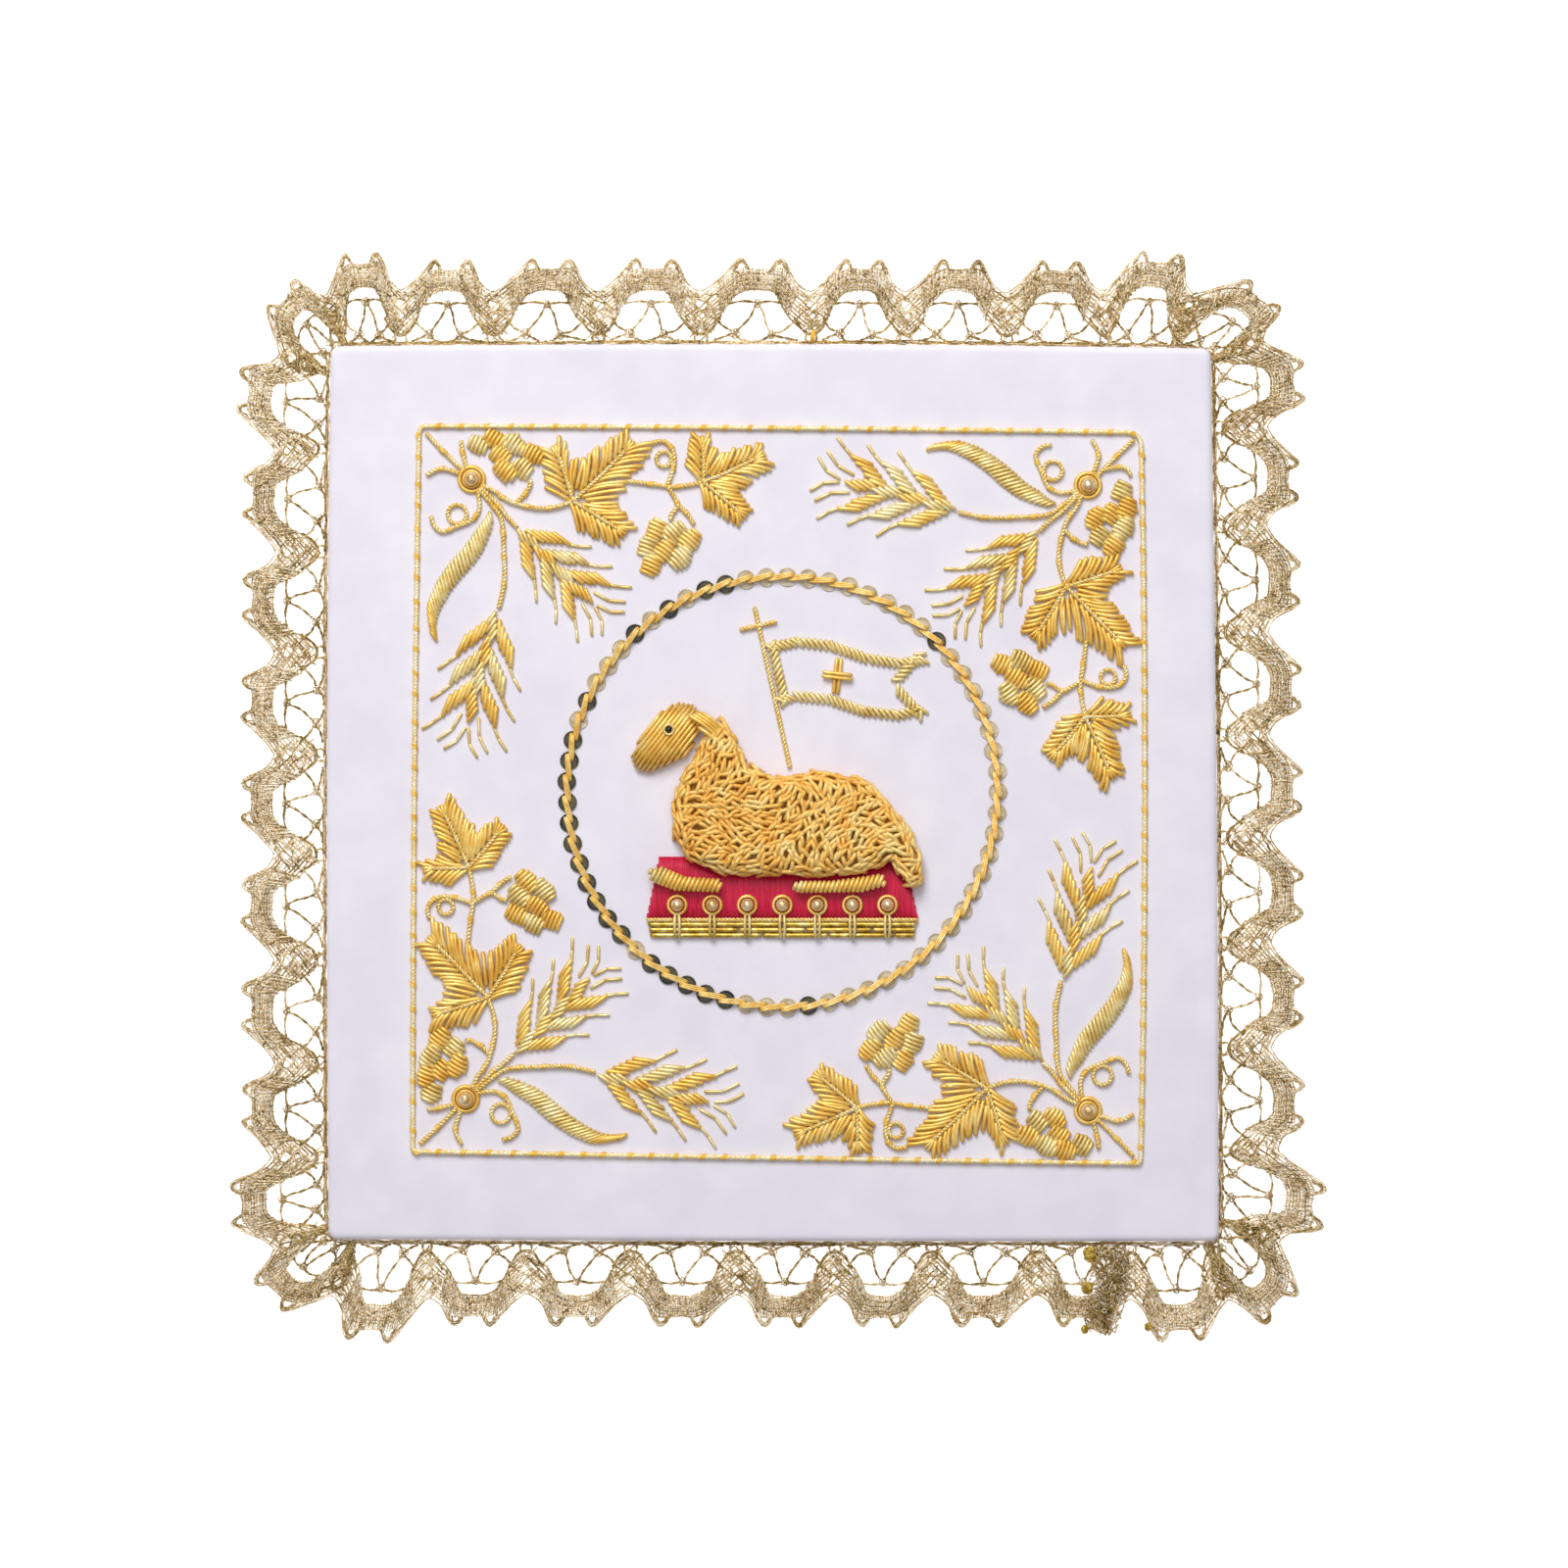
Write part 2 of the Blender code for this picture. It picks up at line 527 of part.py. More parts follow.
def vine_leaf(name, leaf):
    """Make a three-lobed leaf from the bearings and lengths of its veins."""
    centre = sprig_points([leaf["at"]])[0]
    lobes = leaf["lobes"]
    outline = [polar(centre, leaf["stem"], LEAF_STEM)]
    for index, (bearing, length, half) in enumerate(lobes):
        edge = [(length * share, half * spread) for share, spread in LOBE_EDGE]
        outline += [polar(centre, bearing, reach, spread) for reach, spread in edge]
        outline += [polar(centre, bearing, length, LOBE_TIP), polar(centre, bearing, length, -LOBE_TIP)]
        far_reach, far_spread = edge[-1]
        outline.append(polar(centre, bearing, far_reach, -far_spread))
        if index + 1 < len(lobes):
            next_bearing, next_length, _ = lobes[index + 1]
            depth = LEAF_NOTCH * (length + next_length) / 2
            outline.append(polar(centre, (bearing + next_bearing) / 2, depth))
        else:
            near_reach, near_spread = edge[0]
            outline.append(polar(centre, bearing, near_reach, -near_spread))
    return plate(name, [outline], PANEL_THICK + GAP, CHIP_HEIGHT)


def grape_cluster(name, cluster):
    """Make a bunch of grapes: lozenges of parallel chips, close together."""
    grapes = []
    for spot in cluster["at"]:
        shell = bmesh.new()
        bmesh.ops.create_cone(shell, cap_ends=True, segments=6, radius1=MM, radius2=0.85 * MM,
                              depth=CHIP_HEIGHT * MM)
        bmesh.ops.scale(shell, vec=(GRAPE_RADII[0], GRAPE_RADII[1], 1.0), verts=shell.verts)
        turn = Matrix.Rotation(math.radians(cluster["chips"]), 3, "Z")
        bmesh.ops.rotate(shell, matrix=turn, verts=shell.verts)
        height = PANEL_THICK + GAP + CHIP_HEIGHT / 2
        bmesh.ops.translate(shell, vec=metres(sprig_points([spot]), height)[0], verts=shell.verts)
        mesh = bpy.data.meshes.new("grape")
        shell.to_mesh(mesh)
        shell.free()
        grapes.append(mesh)
    return fuse(name, grapes)


def ear_side():
    """Walk up one side of a wheat ear: along its axis, then out from it."""
    side = [(0.0, RACHIS_HALF)]
    step_along, step_out = GRAIN_PITCH_OUT
    awn_along, awn_out = AWN_RUN
    for start in GRAIN_STARTS:
        tip = (start + step_along + CHIP_RUN, step_out + GRAIN_TIP_OUT)
        side.append((start, RACHIS_HALF))
        side.append((start + step_along, step_out + RACHIS_HALF))
        side.append((tip[0] - AWN_WIDTH, tip[1]))
        side.append((tip[0] + awn_along - AWN_WIDTH, tip[1] + awn_out))
        side.append((tip[0] + awn_along, tip[1] + awn_out - AWN_WIDTH))
        side.append((tip[0], tip[1] - AWN_WIDTH))
        side.append((start + GRAIN_END, RACHIS_HALF))
    return side + EAR_CROWN


def wheat_ear(name, ear):
    """Make an ear of wheat: a middle row with three pairs of grains and their awns."""
    foot = sprig_points([ear["at"]])[0]
    side = [(along * ear["scale"], out * ear["scale"]) for along, out in ear_side()]
    left = [polar(foot, ear["bearing"], along, out) for along, out in side]
    right = [polar(foot, ear["bearing"], along, -out) for along, out in side]
    tip = [polar(foot, ear["bearing"], EAR_TIP * ear["scale"])]
    return plate(name, [left + tip + right[::-1]], PANEL_THICK + GAP, CHIP_HEIGHT)


def blade_mesh():
    """Make the long wheat leaf as a tapering band of steep chips."""
    outline = taper(sprig_points(BLADE_LINE), BLADE_HALF_WIDTHS)
    return plate("blade", [outline], PANEL_THICK + GAP, CHIP_HEIGHT)


def add_sprigs(collection, materials):
    """Make one corner sprig and repeat it, turned, in all four corners."""
    hub = sprig_points([HUB_AT])[0]
    shapes = {"stem_root": (stem_root(), "cord"), "stem_tip": (stem_tip(), "cord"),
              "blade": (blade_mesh(), "chips"),
              "corner_bead": (bead("corner_bead", hub, PANEL_THICK + GAP, CORNER_BEAD_RADIUS), "bead")}
    for name, leaf in LEAVES.items():
        shapes[name] = (vine_leaf(name, leaf), "chips")
    for name, cluster in GRAPES.items():
        shapes[name] = (grape_cluster(name, cluster), "chips")
    for name, ear in EARS.items():
        shapes[name] = (wheat_ear(name, ear), "chips")
    for index, corner in enumerate(BORDER_CORNERS):
        place = Matrix.Translation(metres([corner])[0]) @ Matrix.Rotation(-math.pi / 2 * index, 4, "Z")
        for name, (mesh, finish) in shapes.items():
            add_part(collection, f"{name}_{index + 1}", mesh, materials[finish], place)


def figure_plate(name, outline, bottom, height, edge_round=0.0, grow=0.0):
    """Make a flat or padded piece of the figure."""
    return plate(name, [shifted(outline, MEDALLION_CENTRE)], bottom, height, edge_round, grow)


def shrunk(outline, distance):
    """Give the outline moved inwards by a distance, point by point."""
    sharpest = 0.45             # keeps a sharp corner's point from running far inwards
    count = len(outline)
    area = sum(outline[i - 1][0] * outline[i][1] - outline[i][0] * outline[i - 1][1] for i in range(count))
    inward = 1.0 if area > 0 else -1.0
    inner = []
    for index, point in enumerate(outline):
        here = Vector(point)
        first = (here - Vector(outline[index - 1])).normalized()
        second = (Vector(outline[(index + 1) % count]) - here).normalized()
        normals = [Vector((-way.y, way.x)) * inward for way in (first, second)]
        middle = (normals[0] + normals[1]).normalized()
        reach = distance / max(middle.dot(normals[0]), sharpest)
        inner.append(tuple(here + middle * reach))
    return inner


def add_book(collection, cutters, materials):
    """Make the closed book under the lamb, with its seals."""
    base = PANEL_THICK + GAP
    cover_mesh = figure_plate("book_cover", BOOK_COVER, base, BOOK_COVER_HEIGHT)
    cover = add_part(collection, "book_cover", cover_mesh, materials["satin"])
    cutter_mesh = figure_plate("lamb_clearance", LAMB_BODY, PANEL_THICK, LAMB_BODY_HEIGHT, grow=GAP)
    cutter = add_part(cutters, "lamb_clearance", cutter_mesh, materials["satin"])
    cutter.hide_render = True
    cutter.display_type = "WIRE"
    cut = cover.modifiers.new("lamb_clearance", "BOOLEAN")
    cut.operation = "DIFFERENCE"
    cut.solver = "EXACT"
    cut.object = cutter
    pages = figure_plate("book_pages", BOOK_PAGES, base, BOOK_PAGES_HEIGHT)
    add_part(collection, "book_pages", pages, materials["chips"])
    for order in range(SEAL_COUNT):
        offset = (order - (SEAL_COUNT - 1) / 2) * SEAL_PITCH
        spot = (MEDALLION_CENTRE[0] + offset, MEDALLION_CENTRE[1] + SEAL_ROW)
        name = f"seal_{order + 1}"
        mesh = bead(name, spot, base + BOOK_COVER_HEIGHT + GAP, SEAL_RADIUS)
        add_part(collection, name, mesh, materials["bead"])


def add_lamb(collection, materials):
    """Make the padded lamb: fleece, head and the two legs that show."""
    base = PANEL_THICK + GAP
    on_book = base + BOOK_COVER_HEIGHT + GAP
    body = figure_plate("lamb_body", LAMB_BODY, base, LAMB_BODY_HEIGHT, PADDING_ROUND)
    add_part(collection, "lamb_body", body, materials["chips"])
    head = figure_plate("lamb_head", LAMB_HEAD, base, LAMB_HEAD_HEIGHT, PADDING_ROUND)
    add_part(collection, "lamb_head", head, materials["chips"])
    for name, outline in (("lamb_foreleg", FORELEG), ("lamb_hindleg", HINDLEG)):
        leg = figure_plate(name, outline, on_book, LEG_HEIGHT, LEG_ROUND)
        add_part(collection, name, leg, materials["chips"])


def add_banner(collection, materials):
    """Make the staff with its plain cross head, and the frame of the swallow-tailed banner."""
    base = PANEL_THICK + GAP
    bars = [figure_plate("staff", stroke(path, STAFF_WIDTH), base, CORD_HEIGHT)
            for path in (STAFF_ENDS, STAFF_CROSSBAR)]
    add_part(collection, "staff", fuse("staff", bars), materials["cord"])
    rings = [shifted(BANNER, MEDALLION_CENTRE), shifted(shrunk(BANNER, BANNER_BAND), MEDALLION_CENTRE)]
    add_part(collection, "banner", plate("banner", rings, base, BANNER_HEIGHT), materials["chips"])


def build():
    """Make the whole pall."""
    for leftover in list(bpy.data.objects):
        bpy.data.objects.remove(leftover)
    model = add_collection("chalice_pall")
    cutters = add_collection("cutters")
    materials = {
        "cloth": add_material("white_satin", (0.80, 0.77, 0.85), 0.75, 0.0),
        "lace": add_material("champagne_lace", (0.50, 0.40, 0.20), 0.42, 0.9),
        "cord": add_material("gold_twist", (0.83, 0.56, 0.13), 0.4, 0.9),
        "chips": add_material("gold_purl", (0.76, 0.47, 0.10), 0.35, 0.95),
        "sequins": add_material("clear_sequin", (0.42, 0.35, 0.22), 0.3, 0.3),
        "bead": add_material("gold_bead", (0.86, 0.62, 0.30), 0.2, 1.0),
        "satin": add_material("red_satin", (0.48, 0.006, 0.03), 0.55, 0.0),
    }
    outline = panel_outline(grow=0.0, side_steps=4, corner_steps=3)
    panel = plate("panel", [outline], 0.0, PANEL_THICK, PANEL_EDGE_ROUND)
    add_part(model, "panel", panel, materials["cloth"])
    add_part(model, "lace_edging", lace_mesh(FootLine()), materials["lace"])
    add_part(model, "border_cord", border_cord(), materials["cord"])
    add_part(model, "sequin_band", sequin_band(), materials["sequins"])
    add_part(model, "medallion_cord", medallion_cord(), materials["cord"])
    add_sprigs(model, materials)
    add_book(model, cutters, materials)
    add_lamb(model, materials)
    add_banner(model, materials)


build()
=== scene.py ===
"""Looks of a chalice pall: satin cover, bobbin lace edging and goldwork embroidery.

Places in the tables are in millimetres from the middle of the panel, with x to the right of the face
and y to its top. place() turns them into metres in the part's own frame.
"""
import math
import random

import bmesh
import bpy
from mathutils import Matrix, Vector


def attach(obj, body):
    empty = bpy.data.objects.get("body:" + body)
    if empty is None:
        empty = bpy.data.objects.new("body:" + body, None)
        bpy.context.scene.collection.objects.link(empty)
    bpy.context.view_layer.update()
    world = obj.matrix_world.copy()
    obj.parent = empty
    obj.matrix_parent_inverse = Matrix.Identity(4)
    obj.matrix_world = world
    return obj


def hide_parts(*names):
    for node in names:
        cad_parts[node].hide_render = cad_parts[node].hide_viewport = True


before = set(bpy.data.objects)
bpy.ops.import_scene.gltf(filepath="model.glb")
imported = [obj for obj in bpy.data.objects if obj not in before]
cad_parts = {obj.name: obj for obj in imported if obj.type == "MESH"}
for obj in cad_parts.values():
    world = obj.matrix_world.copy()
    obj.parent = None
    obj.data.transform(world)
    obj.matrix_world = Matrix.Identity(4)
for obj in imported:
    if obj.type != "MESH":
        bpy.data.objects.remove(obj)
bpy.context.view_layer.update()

MM = 0.001
PANEL_SHIFT = (-0.92, 0.62)    # from the part's origin to the middle of the panel
PANEL_TOP = 3.2
PANEL_HALF = 89.0              # nominal, for the spacing of the cover's rows
PANEL_EDGE_ROUND = 1.3
PANEL_CORNER_RADIUS = 1.8
PANEL_CORNERS = [(-88.5, 89.5), (87.7, 89.1), (89.3, -89.7), (-88.9, -89.3)]   # clockwise from top left
PANEL_BOW = [0.6, 0.4, 0.2, 0.6]                                               # top, right, bottom, left
STITCH_BASE = 3.25             # where the embroidery starts, just over the cloth

# Lace: stretch in height of the first and last scallop of each side and of the corner after it, and the
# dips' distances along the sewing line, one row for each side
LACE_GAP = 0.3                 # from the panel's edge to the sewing line
CORNER_LEAN = 20.0             # degrees by which the dips beside a corner lean towards it
END_STRETCH = [(1.10, 1.14), (1.10, 1.26), (1.18, 1.21), (1.16, 1.10)]
CORNER_STRETCH = [1.02, 1.18, 1.07, 0.96]
LACE_DIPS = [
    [2.6, 13.9, 32.5, 53.5, 74.1, 96.2, 115.2, 135.4, 155.0, 169.2],
    [2.2, 15.7, 35.5, 56.8, 77.4, 98.0, 119.2, 140.3, 160.9, 174.8],
    [2.2, 17.6, 36.3, 57.4, 76.8, 96.6, 117.8, 138.8, 158.6, 173.5],
    [2.2, 16.3, 35.3, 55.9, 77.0, 97.0, 117.6, 137.8, 158.4, 173.7],
]
THREAD = 0.195                 # radius of a lace thread
# The woven trail of one repeat: share of the pitch and height over the foot, at its two edges
TRAIL_INNER = [(0.0, 1.5), (0.09, 3.2), (0.18, 5.2), (0.21, 6.7), (0.26, 8.1), (0.30, 9.3), (0.37, 10.2),
               (0.46, 10.7), (0.56, 10.6), (0.64, 10.4), (0.69, 9.4), (0.71, 8.2), (0.75, 6.5), (0.79, 5.0),
               (0.90, 3.1), (1.0, 1.5)]
TRAIL_OUTER = [(0.0, 10.7), (0.06, 10.9), (0.12, 11.9), (0.19, 13.1), (0.26, 14.2), (0.33, 14.9),
               (0.41, 15.4), (0.48, 15.2), (0.55, 15.1), (0.62, 15.3), (0.70, 15.5), (0.77, 15.0),
               (0.83, 12.9), (0.88, 11.4), (0.94, 10.9), (1.0, 10.7)]
PICOTS = [[(0.28, 14.2), (0.31, 15.9), (0.35, 16.9), (0.39, 16.9), (0.42, 16.0), (0.45, 14.6)],
          [(0.62, 14.6), (0.65, 15.9), (0.69, 16.8), (0.73, 16.8), (0.77, 15.8), (0.81, 13.8)]]
DIP_INDEX = 2                  # entries of the trail at each end that give way to the crossing at a dip
DIP_STEP = 0.07
DIP_BLEND = 0.25                # share of a repeat over which its stretch becomes the one at its dip
DIP_HOLES = [(7.9, 1.25), (5.5, 1.0)]         # height over the foot and radius
# Loose threads that sweep up each slope and over the picot at its top
SWEEPS = [[(0.0, 10.4), (0.08, 11.5), (0.16, 13.0), (0.24, 14.7), (0.30, 16.2), (0.35, 17.1), (0.39, 17.0),
           (0.42, 15.9), (0.44, 14.7)],
          [(0.62, 14.7), (0.65, 15.8), (0.69, 16.8), (0.74, 16.9), (0.79, 15.6), (0.83, 13.6), (0.87, 12.1),
           (0.94, 10.9), (1.0, 10.4)]]
SWEEP_FOOT = 10.4              # height at which the sweeps begin and end
DIP_EDGE = [(-0.18, 5.0), (-0.13, 3.6), (-0.08, 2.3), (0.0, 1.7), (0.08, 2.3), (0.13, 3.6), (0.18, 5.0)]
LACE_PITCH = 20.3              # mean distance between two plain dips
LACE_BARS = [[(0.25, 8.0), (0.38, 8.4), (0.51, 8.0), (0.62, 8.3), (0.73, 8.1)],
             [(0.49, 7.6), (0.45, 5.8), (0.39, 4.2), (0.32, 2.5)],
             [(0.53, 7.6), (0.57, 6.0), (0.59, 4.2), (0.62, 2.4)],
             [(0.13, 5.2), (0.20, 3.4), (0.28, 2.5)],
             [(0.65, 2.2), (0.75, 2.7), (0.87, 5.0)],
             [(0.30, 2.3), (0.36, 1.0), (0.44, 0.5)],
             [(0.30, 2.2), (0.22, 1.3), (0.12, 0.7)],
             [(0.635, 1.8), (0.56, 0.9), (0.48, 0.5)],
             [(0.64, 1.7), (0.75, 1.0), (0.88, 0.6)]]
LACE_KNOTS = [((0.51, 8.0), 0.8), ((0.305, 2.0), 1.0), ((0.635, 1.8), 0.9)]
# The overlap of the lace's two ends, from the top down: level, left and right
JOIN_SHAPE = [(-90.4, 65.2, 70.0), (-92.4, 64.0, 71.2), (-95.0, 63.4, 72.0), (-98.0, 63.2, 72.0),
              (-101.0, 63.0, 70.6), (-104.5, 62.4, 69.8), (-108.2, 62.0, 68.6)]
HAIRPIN_TOP = -101.0           # level where the join's hairpins start

# Border, medallion and the sprigs, each sprig measured from its own corner of the border
BORDER_CORNERS = [(-70.7, 73.4), (73.6, 72.1), (73.5, -74.0), (-72.0, -71.6)]
BORDER_BOW = [0.25, 0.8, 0.1, 0.3]
BORDER_TURNS = [1.6, 2.8, 0.9, 0.9]            # how far from each corner the cord starts to turn
MEDALLION_CENTRE = (1.9, 0.3)
MEDALLION_RADIUS = 43.1
SEQUIN_COUNT = 65
SEQUIN_RADIUS = 1.9
CORD_LAY = 1.5                 # length of one turn of a twisted cord
COUCH_PITCH = 4.8              # distance between the ties of a couched cord
HUB_AT = (10.5, 10.6)
SPRIG_CORDS = [
    [(1.5, 1.5), (5.0, 5.2), (8.6, 8.7)],
    [(8.4, 3.0), (8.7, 5.4), (9.4, 8.2)],
    [(1.5, 9.8), (4.3, 8.5), (8.1, 9.5)],
    [(12.7, 11.9), (15.2, 13.1), (17.6, 14.8), (20.2, 15.7), (23.6, 16.4), (27.2, 16.2), (30.8, 15.0)],
    [(41.6, 11.0), (46.0, 11.5), (50.2, 12.1), (53.2, 11.9), (56.8, 11.2)],
    [(19.6, 15.2), (21.4, 13.2), (22.3, 11.4), (22.1, 10.7)],
    [(12.0, 12.6), (14.9, 16.2), (16.5, 19.0), (16.9, 24.6), (17.0, 31.0), (15.9, 36.4)],
    [(12.4, 12.3), (15.9, 15.9), (17.8, 18.4), (19.6, 20.2)],
    [(11.7, 13.0), (12.0, 16.4), (10.6, 18.7), (7.2, 20.2), (4.6, 21.1), (2.9, 19.8), (2.4, 18.0)],
    [(49.6, 11.8), (50.6, 9.0), (51.0, 6.2), (50.2, 4.0), (48.6, 3.0), (46.6, 3.3)],
    [(49.8, 12.2), (51.6, 15.6), (50.5, 17.6), (50.2, 18.8)],
    [(51.6, 15.6), (53.6, 17.6), (54.9, 19.6)],
]
# The top right corner's short cord bends over to its grapes
CHANGED_CORDS = {1: {1: [(7.4, 7.3), (6.9, 4.5), (7.4, 2.7), (8.6, 2.1)]}}
TENDRIL_RINGS = [((7.6, 17.6), 1.9), ((48.9, 6.6), 1.5)]
# Leaves: where the veins meet, bearing and length of each lobe's vein, and the size of the chips
LEAVES = [((30.8, 15.0), [(108.0, 11.6), (44.0, 16.8), (-32.0, 12.2)], 1.0),
          ((56.8, 11.2), [(91.0, 9.0), (24.0, 13.4), (-40.0, 10.8)], 0.8)]
# Chips beside each vein: turn from the vein, length at its foot and at its tip, and where they start
LOBE_CHIPS = [[(42.0, 6.0, 3.4, 0.2), (17.0, 8.0, 2.8, 1.4)],
              [(40.0, 7.4, 3.6, 2.4), (34.0, 9.2, 4.6, 1.6)],
              [(30.0, 8.0, 3.2, 1.6), (42.0, 6.0, 3.2, -0.4)]]
# Grapes: where, bearing of the chips, and whether they are of pale gold
GRAPES = [
    [((11.8, 3.8), 62.0, 1), ((15.3, 2.9), 64.0, 0), ((19.1, 3.6), 56.0, 1), ((16.3, 5.9), 58.0, 0),
     ((22.5, 5.5), 60.0, 0), ((17.2, 9.0), 58.0, 0), ((20.7, 8.4), 54.0, 1)],
    [((47.5, 20.7), -30.0, 0), ((51.0, 21.2), -47.0, 1), ((54.0, 22.8), -45.0, 0),
     ((45.5, 24.2), -25.0, 1), ((49.1, 24.8), -38.0, 0), ((52.2, 26.4), -50.0, 1),
     ((46.3, 27.9), -28.0, 0)],
]
EARS = [((15.6, 36.9), -104.5, 1.0), ((19.7, 20.3), -45.0, 0.92)]     # foot, bearing and size
GRAIN_STARTS = [1.6, 7.8, 14.0]
BLADE_LINE = [(14.3, 18.2), (13.4, 20.4), (10.7, 24.8), (6.6, 29.6), (3.8, 34.0), (2.5, 37.8), (2.9, 41.8)]

# The figure, measured from the medallion's centre
BOOK_COVER = [(-24.5, -13.0), (24.5, -13.0), (27.0, -25.3), (-27.0, -25.3)]
BOOK_PAGES = [(-27.0, -25.7), (27.0, -25.7), (26.4, -29.3), (-26.4, -29.3)]
FAR_BELOW = -200.0             # a level under everything
SEAL_COUNT = 7
SEAL_PITCH = 7.0
SEAL_ROW = -22.6
LAMB_BODY = [(-19.0, -13.4), (-21.8, -8.5), (-22.0, -2.0), (-20.6, 2.6), (-17.8, 6.4), (-16.2, 10.0),
             (-14.2, 14.0), (-11.4, 14.2), (-8.8, 10.6), (-6.4, 5.6), (-1.0, 3.2), (8.5, 4.2),
             (16.5, 2.8), (21.6, -2.0), (25.4, -7.4), (28.2, -13.6), (27.8, -18.4), (25.2, -19.4),
             (23.2, -16.8), (21.6, -14.2), (16.0, -16.4), (8.0, -17.0), (-3.0, -16.8), (-12.0, -16.6)]
LAMB_HEAD = [(-15.4, 14.6), (-17.6, 17.4), (-21.0, 18.0), (-24.8, 15.6), (-28.6, 10.6), (-30.2, 6.8),
             (-29.2, 4.4), (-26.6, 3.8), (-23.0, 5.2), (-19.4, 7.0), (-17.2, 10.6)]
LAMB_EAR = [(-18.6, 15.2), (-16.2, 15.8), (-12.6, 13.2), (-11.0, 9.6), (-12.6, 9.2), (-15.8, 11.6)]
LAMB_EYE = (-22.6, 12.4)
FORELEG = [(-12.0, -17.5), (-19.2, -17.0), (-24.0, -15.0), (-26.6, -15.6), (-26.2, -17.8), (-21.4, -19.6),
           (-12.6, -19.9)]
HINDLEG = [(20.0, -16.4), (10.0, -17.9), (3.6, -17.9), (1.2, -18.8), (3.2, -20.0), (16.0, -19.9),
           (20.6, -18.6)]
STAFF_ENDS = [(1.5, 4.9), (-5.6, 37.0)]
STAFF_CROSSBAR = [(-8.4, 32.4), (-1.2, 34.0)]
BANNER = [(-3.1, 29.6), (3.0, 31.0), (10.0, 30.1), (17.0, 27.6), (23.6, 26.6), (28.6, 27.4), (23.4, 21.4),
          (28.8, 15.6), (23.0, 14.4), (16.0, 15.2), (9.0, 17.6), (2.4, 18.2), (-0.3, 17.2)]
BANNER_CROSS = (11.0, 23.2)    # its middle

# The view: straight down on the middle of a square field
VIEW_CENTRE = (2.25, 1.86)
VIEW_WIDTH = 313.6
LENS = 120.0
SENSOR = 36.0


# Materials

def linear(hex_colour):
    """Turn an sRGB hex colour into linear RGBA."""
    parts = [int(hex_colour[i:i + 2], 16) / 255 for i in (0, 2, 4)]
    return (*[c / 12.92 if c <= 0.04045 else ((c + 0.055) / 1.055) ** 2.4 for c in parts], 1.0)


def add_node(material, kind, inputs=None, stops=None, **settings):
    """Add a shader node with its settings and colour stops, and link or set its inputs."""
    tree = material.node_tree
    node = tree.nodes.new("ShaderNode" + kind)
    for key, value in settings.items():
        setattr(node, key, value)
    if stops:
        elements = node.color_ramp.elements
        while len(elements) < len(stops):
            elements.new(0.5)
        for element, (spot, colour) in zip(elements, stops):
            element.position = spot
            element.color = linear(colour)
    for key, value in (inputs or {}).items():
        if isinstance(value, bpy.types.NodeSocket):
            tree.links.new(value, node.inputs[key])
        else:
            node.inputs[key].default_value = value
    return node


def new_material(name, roughness, metallic=0.0, others=None):
    """Start a material and set what is the same all over it."""
    material = bpy.data.materials.new(name)
    material.use_nodes = True
    shader = material.node_tree.nodes["Principled BSDF"]
    for key, value in {"Roughness": roughness, "Metallic": metallic, **(others or {})}.items():
        shader.inputs[key].default_value = value
    return material


def feed(material, sockets):
    """Link sockets to the material's shader by the names of its inputs, and give the material back."""
    shader = material.node_tree.nodes["Principled BSDF"]
    for name, socket in sockets.items():
        material.node_tree.links.new(socket, shader.inputs[name])
    return material


def per_metre(size):
    """Turn the size of mottling in millimetres into a noise scale."""
    return 1000.0 / size


def bands(pitch):
    """Turn the distance between bands in millimetres into a wave scale."""
    return 2 * math.pi / (20 * pitch * MM)


def satin_cloth():
    """White satin, woven with long floats: a fine diagonal that only just shows, and a soft sheen."""
    material = new_material("white_satin", 0.62, others={"Sheen Weight": 0.15})
    place_in = add_node(material, "TexCoord").outputs["Object"]
    # The floats lie 0.5 mm apart on the slant, a little coarser than the real ones so that they show
    slant = add_node(material, "Mapping", {"Vector": place_in, "Rotation": (0, 0, math.radians(38))})
    weave = add_node(material, "TexWave", {"Vector": slant.outputs["Vector"], "Scale": bands(0.5),
                                           "Distortion": 2.5, "Detail": 2.0, "Detail Scale": 2.0})
    cloud = add_node(material, "TexNoise", {"Vector": place_in, "Scale": per_metre(9), "Detail": 5.0})
    mixed = add_node(material, "Math", {0: weave.outputs["Fac"], 1: 0.08, 2: cloud.outputs["Fac"]},
                     operation="MULTIPLY_ADD")
    colour = add_node(material, "ValToRGB", {"Fac": mixed.outputs["Value"]},
                      stops=[(0.35, "e9e4f1"), (0.8, "f2eef8")])
    relief = add_node(material, "Bump", {"Height": weave.outputs["Fac"], "Strength": 0.04,
                                         "Distance": 0.04 * MM})
    return feed(material, {"Base Color": colour.outputs["Color"], "Normal": relief.outputs["Normal"]})


